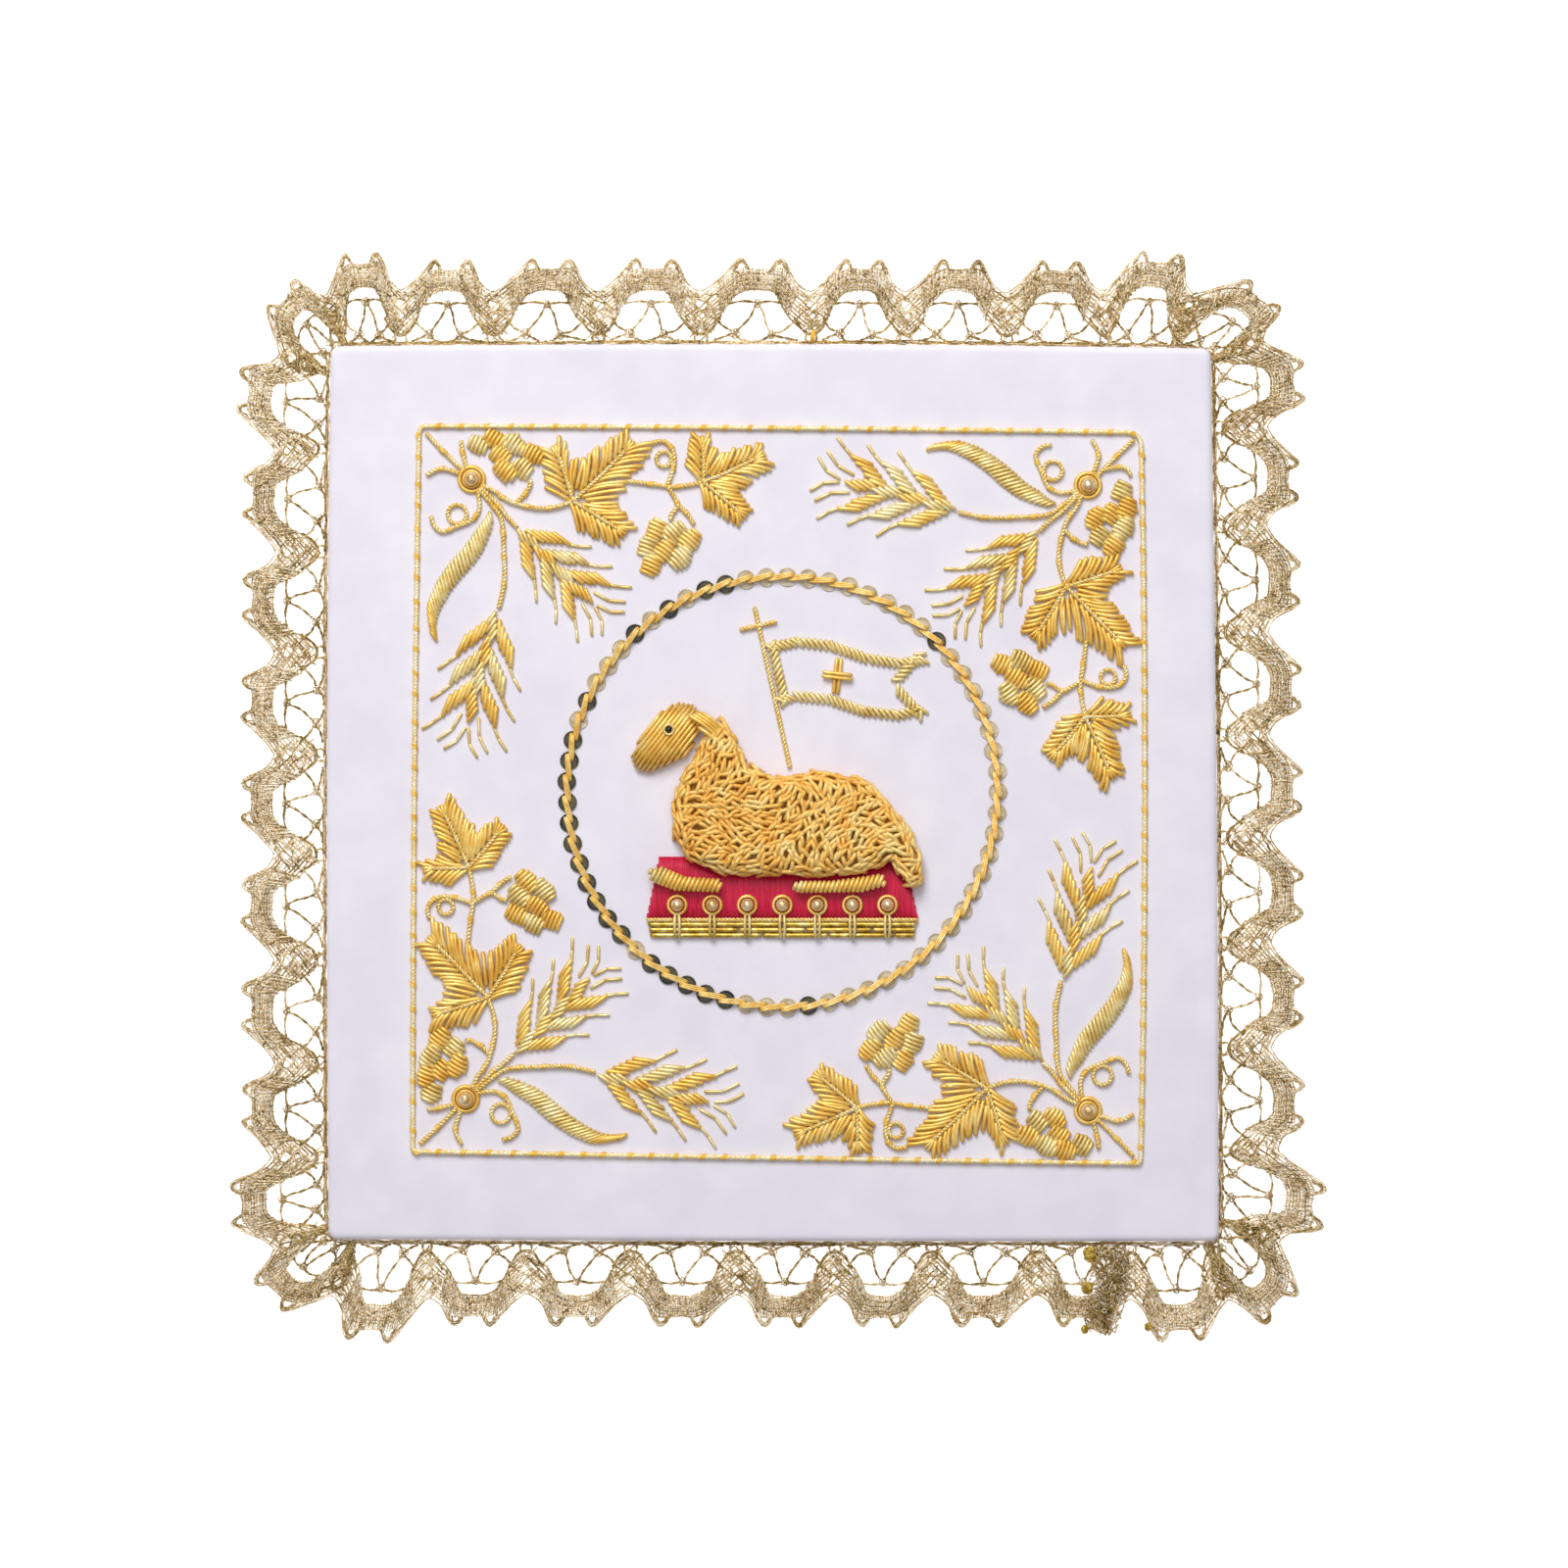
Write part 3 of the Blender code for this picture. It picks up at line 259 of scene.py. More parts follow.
def gold_thread(name, golds, turns, roughness, metallic, fleck, ridges=0.25):
    """Metal-wrapped thread: flecks as big as fleck mm, partly uneven tone and partly painted glints and
    painted shade, over a fine spiral of wrapping.
    """
    material = new_material(name, roughness, metallic)
    place_in = add_node(material, "TexCoord").outputs["Object"]
    along = add_node(material, "TexCoord").outputs["UV"]
    noise = add_node(material, "TexNoise", {"Vector": place_in, "Scale": per_metre(fleck), "Detail": 2.0})
    patch = add_node(material, "TexNoise", {"Vector": place_in, "Scale": per_metre(6 * fleck), "Detail": 1.0})
    share = add_node(material, "Math", {0: patch.outputs["Fac"], 1: 0.3}, operation="MULTIPLY")
    both = add_node(material, "Math", {0: noise.outputs["Fac"], 1: 0.7, 2: share.outputs["Value"]},
                    operation="MULTIPLY_ADD")
    # The lightest stop is painted glint and the darkest painted shade, mottled over the thread's own uneven
    # tone
    dark, middle, light = golds
    colour = add_node(material, "ValToRGB", {"Fac": both.outputs["Value"]},
                      stops=[(0.36, dark), (0.5, middle), (0.62, light)])
    # One turn of the wrapping for each unit, so the spiral meets itself round the thread
    wound = add_node(material, "Mapping", {"Vector": along, "Scale": (turns, 1.0, 1.0)})
    spiral = add_node(material, "TexWave", {"Vector": wound.outputs["Vector"], "Scale": 2 * math.pi / 10},
                      bands_direction="DIAGONAL")
    relief = add_node(material, "Bump", {"Height": spiral.outputs["Fac"], "Strength": ridges,
                                         "Distance": 0.04 * MM})
    return feed(material, {"Base Color": colour.outputs["Color"], "Normal": relief.outputs["Normal"]})


def glossy(name, stops, size, roughness, metallic=0.0, transmission=0.0):
    """Smooth hard surface, pressed or plated: a clear shine and a slightly uneven tint."""
    material = new_material(name, roughness, metallic, {"Transmission Weight": transmission})
    place_in = add_node(material, "TexCoord").outputs["Object"]
    noise = add_node(material, "TexNoise", {"Vector": place_in, "Scale": per_metre(size), "Detail": 2.0})
    tint = add_node(material, "ValToRGB", {"Fac": noise.outputs["Fac"]},
                    stops=[(0.35, stops[0]), (0.7, stops[1])])
    relief = add_node(material, "Bump", {"Height": noise.outputs["Fac"], "Strength": 0.1,
                                         "Distance": 0.05 * MM})
    return feed(material, {"Base Color": tint.outputs["Color"], "Normal": relief.outputs["Normal"]})


def silk_floss(name, dark, light, roughness=0.42):
    """Untwisted silk laid side by side: a soft streaky shine along each strand."""
    material = new_material(name, roughness, others={"Sheen Weight": 0.08})
    along = add_node(material, "TexCoord").outputs["Object"]
    # Streaks 0.4 mm wide and 6 mm long
    streaks = add_node(material, "Mapping", {"Vector": along,
                                             "Scale": (per_metre(0.4), per_metre(6), per_metre(6))})
    noise = add_node(material, "TexNoise", {"Vector": streaks.outputs["Vector"], "Scale": 1.0, "Detail": 2.0})
    colour = add_node(material, "ValToRGB", {"Fac": noise.outputs["Fac"]},
                      stops=[(0.35, dark), (0.65, light)])
    relief = add_node(material, "Bump", {"Height": noise.outputs["Fac"], "Strength": 0.15,
                                         "Distance": 0.05 * MM})
    return feed(material, {"Base Color": colour.outputs["Color"], "Normal": relief.outputs["Normal"]})


def floor_paper():
    """Plain matt white paper, lit from below as well so that it stays white round the lace."""
    glow = {"Emission Color": (1.0, 1.0, 1.0, 1.0), "Emission Strength": 0.62}
    material = new_material("studio_paper", 0.9, others=glow)
    place_in = add_node(material, "TexCoord").outputs["Object"]
    noise = add_node(material, "TexNoise", {"Vector": place_in, "Scale": per_metre(17), "Detail": 2.0})
    colour = add_node(material, "ValToRGB", {"Fac": noise.outputs["Fac"]},
                      stops=[(0.3, "fdfdfd"), (0.7, "ffffff")])
    return feed(material, {"Base Color": colour.outputs["Color"]})


# Lit and shaded copies of the lace thread: the plain one, a darker one of painted shade and a lighter one of
# painted highlight
LACE_LOOKS = ["lace", "lace_painted_shade", "lace_painted_highlight"]
LOOKS = {
    "satin": satin_cloth(),
    # Fine gilt thread of the lace, worn to champagne, with darker lengths of painted shade, as where threads
    # cross, and lighter lengths of painted highlight
    "lace": gold_thread("champagne_thread", ("9c7d44", "d8bb84", "fdf0d6"), 80, 0.38, 0.42, 0.55),
    "lace_painted_shade": gold_thread("painted_shade_thread", ("6a5520", "ab8b4a", "dcc48a"), 80, 0.42, 0.5, 0.5),
    "lace_painted_highlight": gold_thread("painted_highlight_thread", ("cfae7a", "f2deb8", "fffaf0"), 80, 0.34, 0.38, 0.55),
    # Twisted couched cords, bright where each strand turns up; their lighter flecks are painted glints and
    # their darker ones painted shade
    "border": gold_thread("border_thread", ("f4cf78", "fde7a8", "fffcec"), 2400, 0.46, 0.22, 0.45),
    "sprig": gold_thread("sprig_thread", ("e8b851", "f9da84", "fff6ca"), 90, 0.42, 0.34, 0.45),
    # Plain yellow silk that ties the cords down: deep in colour, with no metal in it
    "couching": gold_thread("couching_silk", ("f2bb3e", "f9ca50", "ffda6c"), 8, 0.6, 0.0, 1.5),
    # Purl: coiled gilt wire cut in chips, bright along the crest and dark in the gaps
    "purl": gold_thread("gilt_purl", ("ecb64c", "f9cc66", "ffde88"), 45, 0.36, 0.36, 3.0, 0.1),
    "pale_purl": gold_thread("pale_gilt_purl", ("dfbd6c", "f2d990", "fcecb6"), 45, 0.36, 0.36, 3.0, 0.1),
    # The fleece's purl is rougher coiled, and the strips of the pages are flat bright plate
    "fleece": gold_thread("fleece_purl", ("f2b34c", "ffcf6e", "ffe092"), 60, 0.42, 0.24, 3.0, 0.3),
    "page": gold_thread("page_purl", ("b48c2c", "dab44c", "f6e196"), 90, 0.34, 0.6, 1.2),
    # Smooth wrapped thread of the medallion's cord: an even, soft shine
    "passing": gold_thread("passing_thread", ("f2bc58", "fcd274", "ffe498"), 40, 0.42, 0.22, 1.2, 0.12),
    # Crumpled ends of tarnished foil at the join of the lace
    "foil": gold_thread("tarnished_foil", ("7c6412", "b8952c", "dcc268"), 6, 0.5, 0.3, 0.8),
    # Thin pressed discs: the tan ones let some light through, the olive ones look almost black
    "sequin": glossy("tan_sequin", ("d0be98", "f8ecd4"), 1.6, 0.16, transmission=0.3),
    "dark_sequin": glossy("olive_sequin", ("17150b", "555030"), 2.4, 0.2),
    # Round plated metal: a small hard highlight, and the rings round it mirrored brown in its sides
    "bead": glossy("gold_plated_bead", ("e6b66c", "fff1cf"), 1.4, 0.15, metallic=0.5),
    # Satin-stitched floss of the book, and pressed wool felt: matt, and seen only between the chips
    "crimson": silk_floss("crimson_silk", "c00c36", "dc184c"),
    "felt": silk_floss("padding_felt", "c08838", "dcaa54", 0.8),
    # Polished black glass of the eye
    "jet": glossy("jet_bead", ("15120e", "2a241a"), 1.4, 0.16),
}


# Making threads and pieces

def place(x, y, z):
    """Turn millimetres from the panel's middle into metres in the part's frame."""
    return ((x + PANEL_SHIFT[0]) * MM, (y + PANEL_SHIFT[1]) * MM, z * MM)


def into_scene(name, data):
    """Put data in the scene as an object."""
    thing = bpy.data.objects.new(name, data)
    bpy.context.scene.collection.objects.link(thing)
    return thing


def mesh_from(shell, name):
    """Turn a finished shell into a mesh."""
    mesh = bpy.data.meshes.new(name)
    shell.to_mesh(mesh)
    shell.free()
    return mesh


def show(name, mesh, looks, nodes=()):
    """Put a finished mesh in the scene as a piece that rides on the part."""
    piece = into_scene(name, mesh)
    if not mesh.materials:
        for look in looks:
            mesh.materials.append(LOOKS[look])
    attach(piece, "root")
    if nodes:
        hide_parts(*nodes)
    return piece


def clamp(value, low=0.0, high=1.0):
    """Keep a value between two limits."""
    return min(max(value, low), high)


def left_of(along):
    """Give the direction to the left of a plan direction."""
    return Vector((-along.y, along.x))


def raised(mark, height):
    """Give a plan point a height."""
    return (mark.x, mark.y, height)


def on_curve(points, i, t, closed=False):
    """Give the place at a share t of the way from point i to the next, on a smooth curve."""
    count = len(points)
    near = [(i + k) % count if closed else clamp(i + k, 0, count - 1) for k in (-1, 0, 1, 2)]
    a, b, c, d = (Vector(points[k]) for k in near)
    return 0.5 * ((2 * b) + (c - a) * t + (2 * a - 5 * b + 4 * c - d) * t * t
                  + (3 * b - a - 3 * c + d) * t ** 3)


def smooth_line(points, step, closed=False):
    """Walk a smooth line through the points in even steps."""
    last = len(points) if closed else len(points) - 1
    dense = [on_curve(points, i, k / 12, closed) for i in range(last) for k in range(12)]
    dense.append(Vector(points[0]) if closed else Vector(points[-1]))
    lengths = [0.0]
    for one, two in zip(dense, dense[1:]):
        lengths.append(lengths[-1] + (two - one).length)
    parts = max(2, round(lengths[-1] / step))
    line = []
    spot = 0
    for k in range(parts if closed else parts + 1):
        goal = lengths[-1] * k / parts
        while spot < len(dense) - 2 and lengths[spot + 1] < goal:
            spot += 1
        run = lengths[spot + 1] - lengths[spot]
        share = 0.0 if run == 0 else (goal - lengths[spot]) / run
        line.append(dense[spot].lerp(dense[spot + 1], share))
    return line


class Threads:
    """Round threads and chips gathered into one piece. Places are in mm from the panel's middle."""

    def __init__(self):
        self.runs = []

    def lay(self, points, radii, shade=0, closed=False):
        """Add one thread through (x, y, z) points."""
        if not isinstance(radii, list):
            radii = [radii] * len(points)
        self.runs.append((points, radii, shade, closed))

    def chip(self, start, end, thick, base=STITCH_BASE, shade=0, bow=0.0, arch=0.25):
        """Add a chip of purl from start to end; bow bends it sideways to its left, arch lifts its middle."""
        start, end = Vector(start), Vector(end)
        along = end - start
        left = left_of(along)
        radius = thick / 2
        points = []
        radii = []
        for t, width in ((0.0, 0.78), (0.05, 1.0), (0.36, 1.0), (0.64, 1.0), (0.95, 1.0), (1.0, 0.78)):
            rise = 4 * t * (1 - t)
            spot = start + along * t + left * bow * rise
            points.append(raised(spot, base + radius + arch * rise))
            radii.append(radius * width)
        self.lay(points, radii, shade)

    def twist(self, line, height, strands, width, lay=CORD_LAY, closed=False, steps=7):
        """Add a cord of twisted strands along a line; width is the whole cord's."""
        path = smooth_line(line, lay / steps, closed)
        strand = width / 2 * (0.52 if strands == 2 else 0.56)
        offset = width / 2 - strand
        turns = len(path) / steps
        if closed:
            turns = round(turns)
        count = len(path)
        for k in range(strands):
            points = []
            for i, spot in enumerate(path):
                before = path[i - 1] if closed else path[max(i - 1, 0)]
                after = path[(i + 1) % count] if closed else path[min(i + 1, count - 1)]
                along = (after - before).normalized()
                turn = 2 * math.pi * (turns * i / count + k / strands)
                aside = offset * math.cos(turn)
                points.append((spot.x - along.y * aside, spot.y + along.x * aside,
                               height + offset * math.sin(turn)))
            self.lay(points, strand, closed=closed)

    def ring(self, centre, radius, height, thick, shade=0, count=14):
        """Add a closed ring of thread."""
        turns = [2 * math.pi * k / count for k in range(count)]
        points = [(centre[0] + radius * math.cos(a), centre[1] + radius * math.sin(a), height) for a in turns]
        self.lay(points, thick / 2, shade, True)

    def piece(self, name, looks, slot, nodes=(), sides=6):
        """Sweep every thread into one mesh."""
        curve = bpy.data.curves.new(name, "CURVE")
        curve.dimensions = "3D"
        curve.bevel_depth = MM
        curve.bevel_resolution = sides // 2 - 2
        curve.use_fill_caps = True
        curve.twist_mode = "Z_UP"
        for look in looks:
            curve.materials.append(LOOKS[look])
        for points, radii, shade, closed in self.runs:
            spline = curve.splines.new("POLY")
            spline.points.add(len(points) - 1)
            for point, spot, radius in zip(spline.points, points, radii):
                point.co = (*place(*spot), 1.0)
                point.radius = radius
            spline.use_cyclic_u = closed
            spline.use_smooth = True
            spline.material_index = shade
        holder = into_scene(name, curve)
        graph = bpy.context.evaluated_depsgraph_get()
        mesh = bpy.data.meshes.new_from_object(holder.evaluated_get(graph))
        bpy.data.objects.remove(holder)
        shell = bmesh.new()
        shell.from_mesh(mesh)
        bmesh.ops.remove_doubles(shell, verts=shell.verts, dist=1e-7)
        bmesh.ops.recalc_face_normals(shell, faces=shell.faces)
        shell.to_mesh(mesh)
        shell.free()
        mesh.name = name
        return show(name, mesh, looks, nodes)


def polar(centre, bearing, distance, aside=0.0):
    """Give the point at a bearing and distance, moved aside to the left of that line."""
    turn = math.radians(bearing)
    along = Vector((math.cos(turn), math.sin(turn)))
    return Vector(centre) + along * distance + left_of(along) * aside


def crossings(outline, start, along):
    """Give where a line cuts an outline, as distances along it in order."""
    across = left_of(along)
    found = []
    for i, second in enumerate(outline):
        one = Vector(outline[i - 1]) - start
        two = Vector(second) - start
        side_one, side_two = one.dot(across), two.dot(across)
        if (side_one > 0) != (side_two > 0):
            share = side_one / (side_one - side_two)
            found.append(one.lerp(two, share).dot(along))
    return sorted(found)


def hatch(outline, bearing, spacing, inset=0.0):
    """Fill an outline with parallel lines: pairs of ends, spaced evenly."""
    along = polar((0, 0), bearing, 1.0)
    across = left_of(along)
    reach = [Vector(p).dot(across) for p in outline]
    rows = max(1, round((max(reach) - min(reach)) / spacing))
    lines = []
    for row in range(rows):
        level = min(reach) + (max(reach) - min(reach)) * (row + 0.5) / rows
        start = across * level
        cuts = crossings(outline, start, along)
        for one, two in zip(cuts[::2], cuts[1::2]):
            if two - one > 2 * inset + 0.6:
                lines.append((start + along * (one + inset), start + along * (two - inset)))
    return lines


def in_medallion(points):
    """Turn points measured from the medallion's centre into plan points."""
    return [(x + MEDALLION_CENTRE[0], y + MEDALLION_CENTRE[1]) for x, y in points]


# Satin cover

def panel_spot(u, v):
    """Give the plan point for u and v from -1 to 1 across the bowed, round-cornered panel."""
    soft = PANEL_CORNER_RADIUS / PANEL_HALF
    corner_u, corner_v = abs(u) - (1 - soft), abs(v) - (1 - soft)
    if corner_u > 0 and corner_v > 0:
        shrink = max(corner_u, corner_v) / math.hypot(corner_u, corner_v)
        u = math.copysign(1 - soft + corner_u * shrink, u)
        v = math.copysign(1 - soft + corner_v * shrink, v)
    top_left, top_right, bottom_right, bottom_left = (Vector(corner) for corner in PANEL_CORNERS)
    across, up = (u + 1) / 2, (v + 1) / 2
    spot = bottom_left.lerp(bottom_right, across).lerp(top_left.lerp(top_right, across), up)
    bow_up = (PANEL_BOW[0] if v > 0 else -PANEL_BOW[2]) * (1 - u * u) * v * v
    bow_right = (PANEL_BOW[1] if u > 0 else -PANEL_BOW[3]) * (1 - v * v) * u * u
    return spot + Vector((bow_right, bow_up))


def satin_cover():
    """Stretch the satin over the board: a soft flat face, rounded edges and a flat back."""
    margins = [0.0, 0.12, 0.35, 0.7, 1.1, 1.6, 2.6, 5.0]
    reach = PANEL_HALF - margins[-1]
    cells = 42
    inner = [-reach + 2 * reach * k / cells for k in range(1, cells)]
    stations = [-PANEL_HALF + m for m in margins] + inner + [PANEL_HALF - m for m in reversed(margins)]
    stations = [s / PANEL_HALF for s in stations]
    count = len(stations) - 1
    shell = bmesh.new()
    bmesh.ops.create_grid(shell, x_segments=count, y_segments=count, size=1.0)
    for vert in shell.verts:
        u = stations[round((vert.co.x + 1) / 2 * count)]
        v = stations[round((vert.co.y + 1) / 2 * count)]
        depth = (1 - max(abs(u), abs(v))) * PANEL_HALF
        bend = 1 - min(depth / PANEL_EDGE_ROUND, 1.0)
        height = PANEL_TOP - PANEL_EDGE_ROUND * (1 - math.sqrt(1 - bend * bend))
        spot = panel_spot(u, v)
        vert.co = place(spot.x, spot.y, height)
    rim = [edge for edge in shell.edges if edge.is_boundary]
    middle = Vector(place(0, 0, 0))
    for drop, inset in ((0.6, 0.0), (0.55, 0.12), (0.45, 0.35), (0.3, 0.75)):
        grown = bmesh.ops.extrude_edge_only(shell, edges=rim)["geom"]
        verts = [item for item in grown if isinstance(item, bmesh.types.BMVert)]
        rim = [item for item in grown if isinstance(item, bmesh.types.BMEdge)]
        for vert in verts:
            vert.co.z -= drop * MM
            inward = (middle - vert.co) / (PANEL_HALF * MM)
            vert.co.x += inward.x * inset * MM
            vert.co.y += inward.y * inset * MM
    bmesh.ops.contextual_create(shell, geom=rim)
    low = min(vert.co.z for vert in shell.verts)
    for vert in shell.verts:
        if vert.co.z < low + 1e-6:
            vert.co.z = 0.0
    bmesh.ops.recalc_face_normals(shell, faces=shell.faces)
    for face in shell.faces:
        face.smooth = len(face.verts) == 4
    return show("satin_cover", mesh_from(shell, "satin_cover"), ["satin"], ["panel"])


# Lace

def lace_foot(side, distance):
    """Give the point on a side's sewing line at a distance from its first corner."""
    start = Vector(PANEL_CORNERS[side % 4])
    along = Vector(PANEL_CORNERS[(side + 1) % 4]) - start
    direction = along.normalized()
    outward = left_of(direction)
    share = clamp(distance / along.length)
    bow = PANEL_BOW[side % 4] * 4 * share * (1 - share)
    return start + direction * distance + outward * (bow + LACE_GAP), direction, outward


def lace_side(side):
    """List a side's repeats and the corner repeat after it: two feet, two directions and a stretch."""
    lean = math.tan(math.radians(CORNER_LEAN))
    dips = LACE_DIPS[side]
    stations = []
    for order, distance in enumerate(dips):
        foot, direction, outward = lace_foot(side, distance)
        tilt = {0: -lean, len(dips) - 1: lean}.get(order, 0.0)
        stations.append((foot, (outward + direction * tilt).normalized()))
    repeats = []
    for order in range(len(dips) - 1):
        stretch = {0: END_STRETCH[side][0], len(dips) - 2: END_STRETCH[side][1]}.get(order, 1.0)
        repeats.append({"from": stations[order], "to": stations[order + 1], "stretch": stretch,
                        "corner": None})
    landing, direction, outward = lace_foot(side + 1, LACE_DIPS[(side + 1) % 4][0])
    corner = Vector(PANEL_CORNERS[(side + 1) % 4])
    corner += (outward + lace_foot(side, 0.0)[2]) * LACE_GAP
    repeats.append({"from": stations[-1], "to": (landing, (outward - direction * lean).normalized()),
                    "stretch": CORNER_STRETCH[side], "corner": corner})
    # Two neighbours share the mean of their stretches at the dip between them
    before = [CORNER_STRETCH[side - 1]] + [repeat["stretch"] for repeat in repeats[:-1]]
    after = [repeat["stretch"] for repeat in repeats[1:]] + [END_STRETCH[(side + 1) % 4][0]]
    for repeat, previous, following in zip(repeats, before, after):
        repeat["ends"] = ((repeat["stretch"] + previous) / 2, (repeat["stretch"] + following) / 2)
    return repeats


def lace_spot(repeat, share, height):
    """Give the plan point of a repeat at a share of its pitch and a height over the foot."""
    start, start_way = repeat["from"]
    end, end_way = repeat["to"]
    foot = start.lerp(end, share)
    if repeat["corner"] is not None:
        foot = start.lerp(repeat["corner"], share).lerp(repeat["corner"].lerp(end, share), share)
    way = start_way.lerp(end_way, share).normalized()
    stretch = repeat["stretch"]
    for away, shared in zip((share, 1 - share), repeat["ends"]):
        near = clamp(1 - away / DIP_BLEND)
        stretch += (shared - repeat["stretch"]) * near
    return foot + way * height * stretch


def even(points, count):
    """Give count + 1 places spread evenly by index along a smoothed table."""
    size = len(points) - 1
    spots = []
    for k in range(count + 1):
        at = size * k / count
        i = min(int(at), size - 1)
        spots.append(on_curve(points, i, at - i))
    return spots


def dip_marks(mark, depth, way):
    """Carry a trail thread on past its end, slanting down across the next scallop's threads."""
    fall = 1.05 - 0.3 * depth
    marks = []
    for step in range(1, 6):
        share = mark.x + way * DIP_STEP * step
        height = mark.y - fall * LACE_PITCH * DIP_STEP * step
        beyond = max(0.0, -share, share - 1.0)
        if height < 1.8 + 20 * beyond:
            break
        marks.append(Vector((share, height)))
    return marks


def weave_trail(threads, spot, hand):
    """Weave the trail of one scallop: long threads that cross at the dips, and zigzags between them."""
    last = len(TRAIL_INNER) - 1 - DIP_INDEX
    inner = [Vector(mark) for mark in TRAIL_INNER[DIP_INDEX:last + 1]]
    outer = [Vector(mark) for mark in TRAIL_OUTER[DIP_INDEX:last + 1]]
    passives = 9
    for k in range(passives):
        depth = (k + 0.5) / passives
        middle = [near.lerp(far, depth) for near, far in zip(inner, outer)]
        marks = dip_marks(middle[0], depth, -1)[::-1] + middle + dip_marks(middle[-1], depth, 1)
        points = even(marks, round(1.5 * len(marks)))
        line = [spot(m, 0.45 + 0.15 * math.cos(i * math.pi + k * math.pi)) for i, m in enumerate(points)]
        threads.lay(line, THREAD * hand.uniform(0.8, 1.05), shade=hand.choice((0, 0, 1, 2)))
    for sweep in SWEEPS:
        for k in range(3):
            marks = [(x, y - 0.075 * k * (y - SWEEP_FOOT)) for x, y in sweep]
            line = [spot(m, 0.42 + 0.12 * k) for m in even(marks, 13)]
            threads.lay(line, THREAD * 0.55, shade=hand.choice((0, 0, 2)))
    steps = 36
    inner = even(inner, steps)
    outer = even(outer, steps)
    for start in (0, 1):
        line = []
        for i in range(steps + 1):
            ends = (0.02, 0.98) if (i + start) % 2 else (0.98, 0.02)
            slip = min(i + 1, steps)
            first = inner[i].lerp(outer[i], ends[0] + hand.uniform(-0.09, 0.03))
            second = inner[i].lerp(outer[slip], 0.5 + hand.uniform(-0.12, 0.12))
            line.append(spot(first, 0.5))
            line.append(spot(second, 0.72 if i % 2 else 0.3))
        threads.lay(line, THREAD * 0.62, shade=start * 2)
    # Crossings drawn tight stand up as small knots
    for _ in range(26):
        i = hand.randrange(1, steps)
        mark = inner[i].lerp(outer[i], hand.uniform(0.05, 0.95))
        lean = hand.choice((-1, 1)) * hand.uniform(0.01, 0.022)
        half = hand.uniform(0.15, 0.4)
        line = [spot((mark.x + lean * t, mark.y + half * t), 0.72 + 0.12 * (1 - t * t))
                for t in (-1.0, 0.0, 1.0)]
        threads.lay(line, THREAD * 0.85, shade=hand.choice((0, 0, 1, 2)))


def weave_dip(threads, spot, hand):
    """Weave a few loose threads through the crossing at the foot side of a dip."""
    # The edge threads all take the darker copy: painted shade at the foot of the dip
    for rise in (0.0, 0.35):
        line = [spot((x, y + rise), 0.5) for x, y in even(DIP_EDGE, 14)]
        threads.lay(line, THREAD * 0.85, shade=1)
    for level in (3.9, 6.7, 9.5, 10.0):
        reach = 0.02 + 0.0165 * level
        line = [spot((reach * (i / 4 - 1), level + (0.35 if i % 2 else -0.35) + hand.uniform(-0.3, 0.3)),
                     0.7 if i % 2 else 0.35) for i in range(9)]
        threads.lay(line, THREAD * 0.75, shade=hand.choice((0, 1, 2)))


def fill_dip(threads, spot, hand):
    """Darn the crossing of two trails with short threads on the slant, between its small holes."""
    for k in range(30):
        level = hand.uniform(1.5, 9.9)
        share = hand.uniform(-1, 1) * (0.04 + 0.0155 * level)
        half = hand.uniform(0.7, 1.7)
        if any(math.hypot(share * LACE_PITCH, level - height) < radius + 0.25
               for height, radius in DIP_HOLES):
            continue
        lean = hand.choice((-1, 1)) * half / LACE_PITCH
        line = [spot((share + 0.72 * lean * t, level + 0.69 * half * t), 0.34 + 0.1 * (k % 4))
                for t in (-1.0, -0.5, 0.0, 0.5, 1.0)]
        threads.lay(line, THREAD * 0.75, shade=hand.choice((0, 0, 1, 2)))


def twisted_pair(threads, line, wobble, shade):
    """Twist two fine threads along plan points."""
    middle = len(line) / 2
    for strand in (0, 1):
        points = []
        for i, mark in enumerate(line):
            along = (line[min(i + 1, len(line) - 1)] - line[max(i - 1, 0)]).normalized()
            turn = i * 0.9 + strand * math.pi
            aside = 0.15 * math.cos(turn)
            drift = wobble * (1 - abs(i - middle) / middle)
            points.append((mark.x - along.y * aside + drift.x, mark.y + along.x * aside + drift.y,
                           0.5 + 0.15 * math.sin(turn)))
        threads.lay(points, THREAD * 0.72, shade)


def gather(threads, spot, end, hand):
    """Crowd extra threads into the foot of a corner dip, where the lace is drawn up on its sewing."""
    for _ in range(28):
        top = hand.uniform(2.5, 10.5)
        marks = []
        for i in range(7):
            height = 0.2 + top * i / 6
            marks.append((end + hand.uniform(-1, 1) * (0.07 + 0.011 * height), height))
        line = [spot(m, hand.uniform(0.4, 1.1)) for m in even(marks, 12)]
        # The crowded threads take the darker copy half the time: painted shade where they lie thick
        threads.lay(line, THREAD * 0.85, shade=hand.choice((1, 1, 0, 0)))


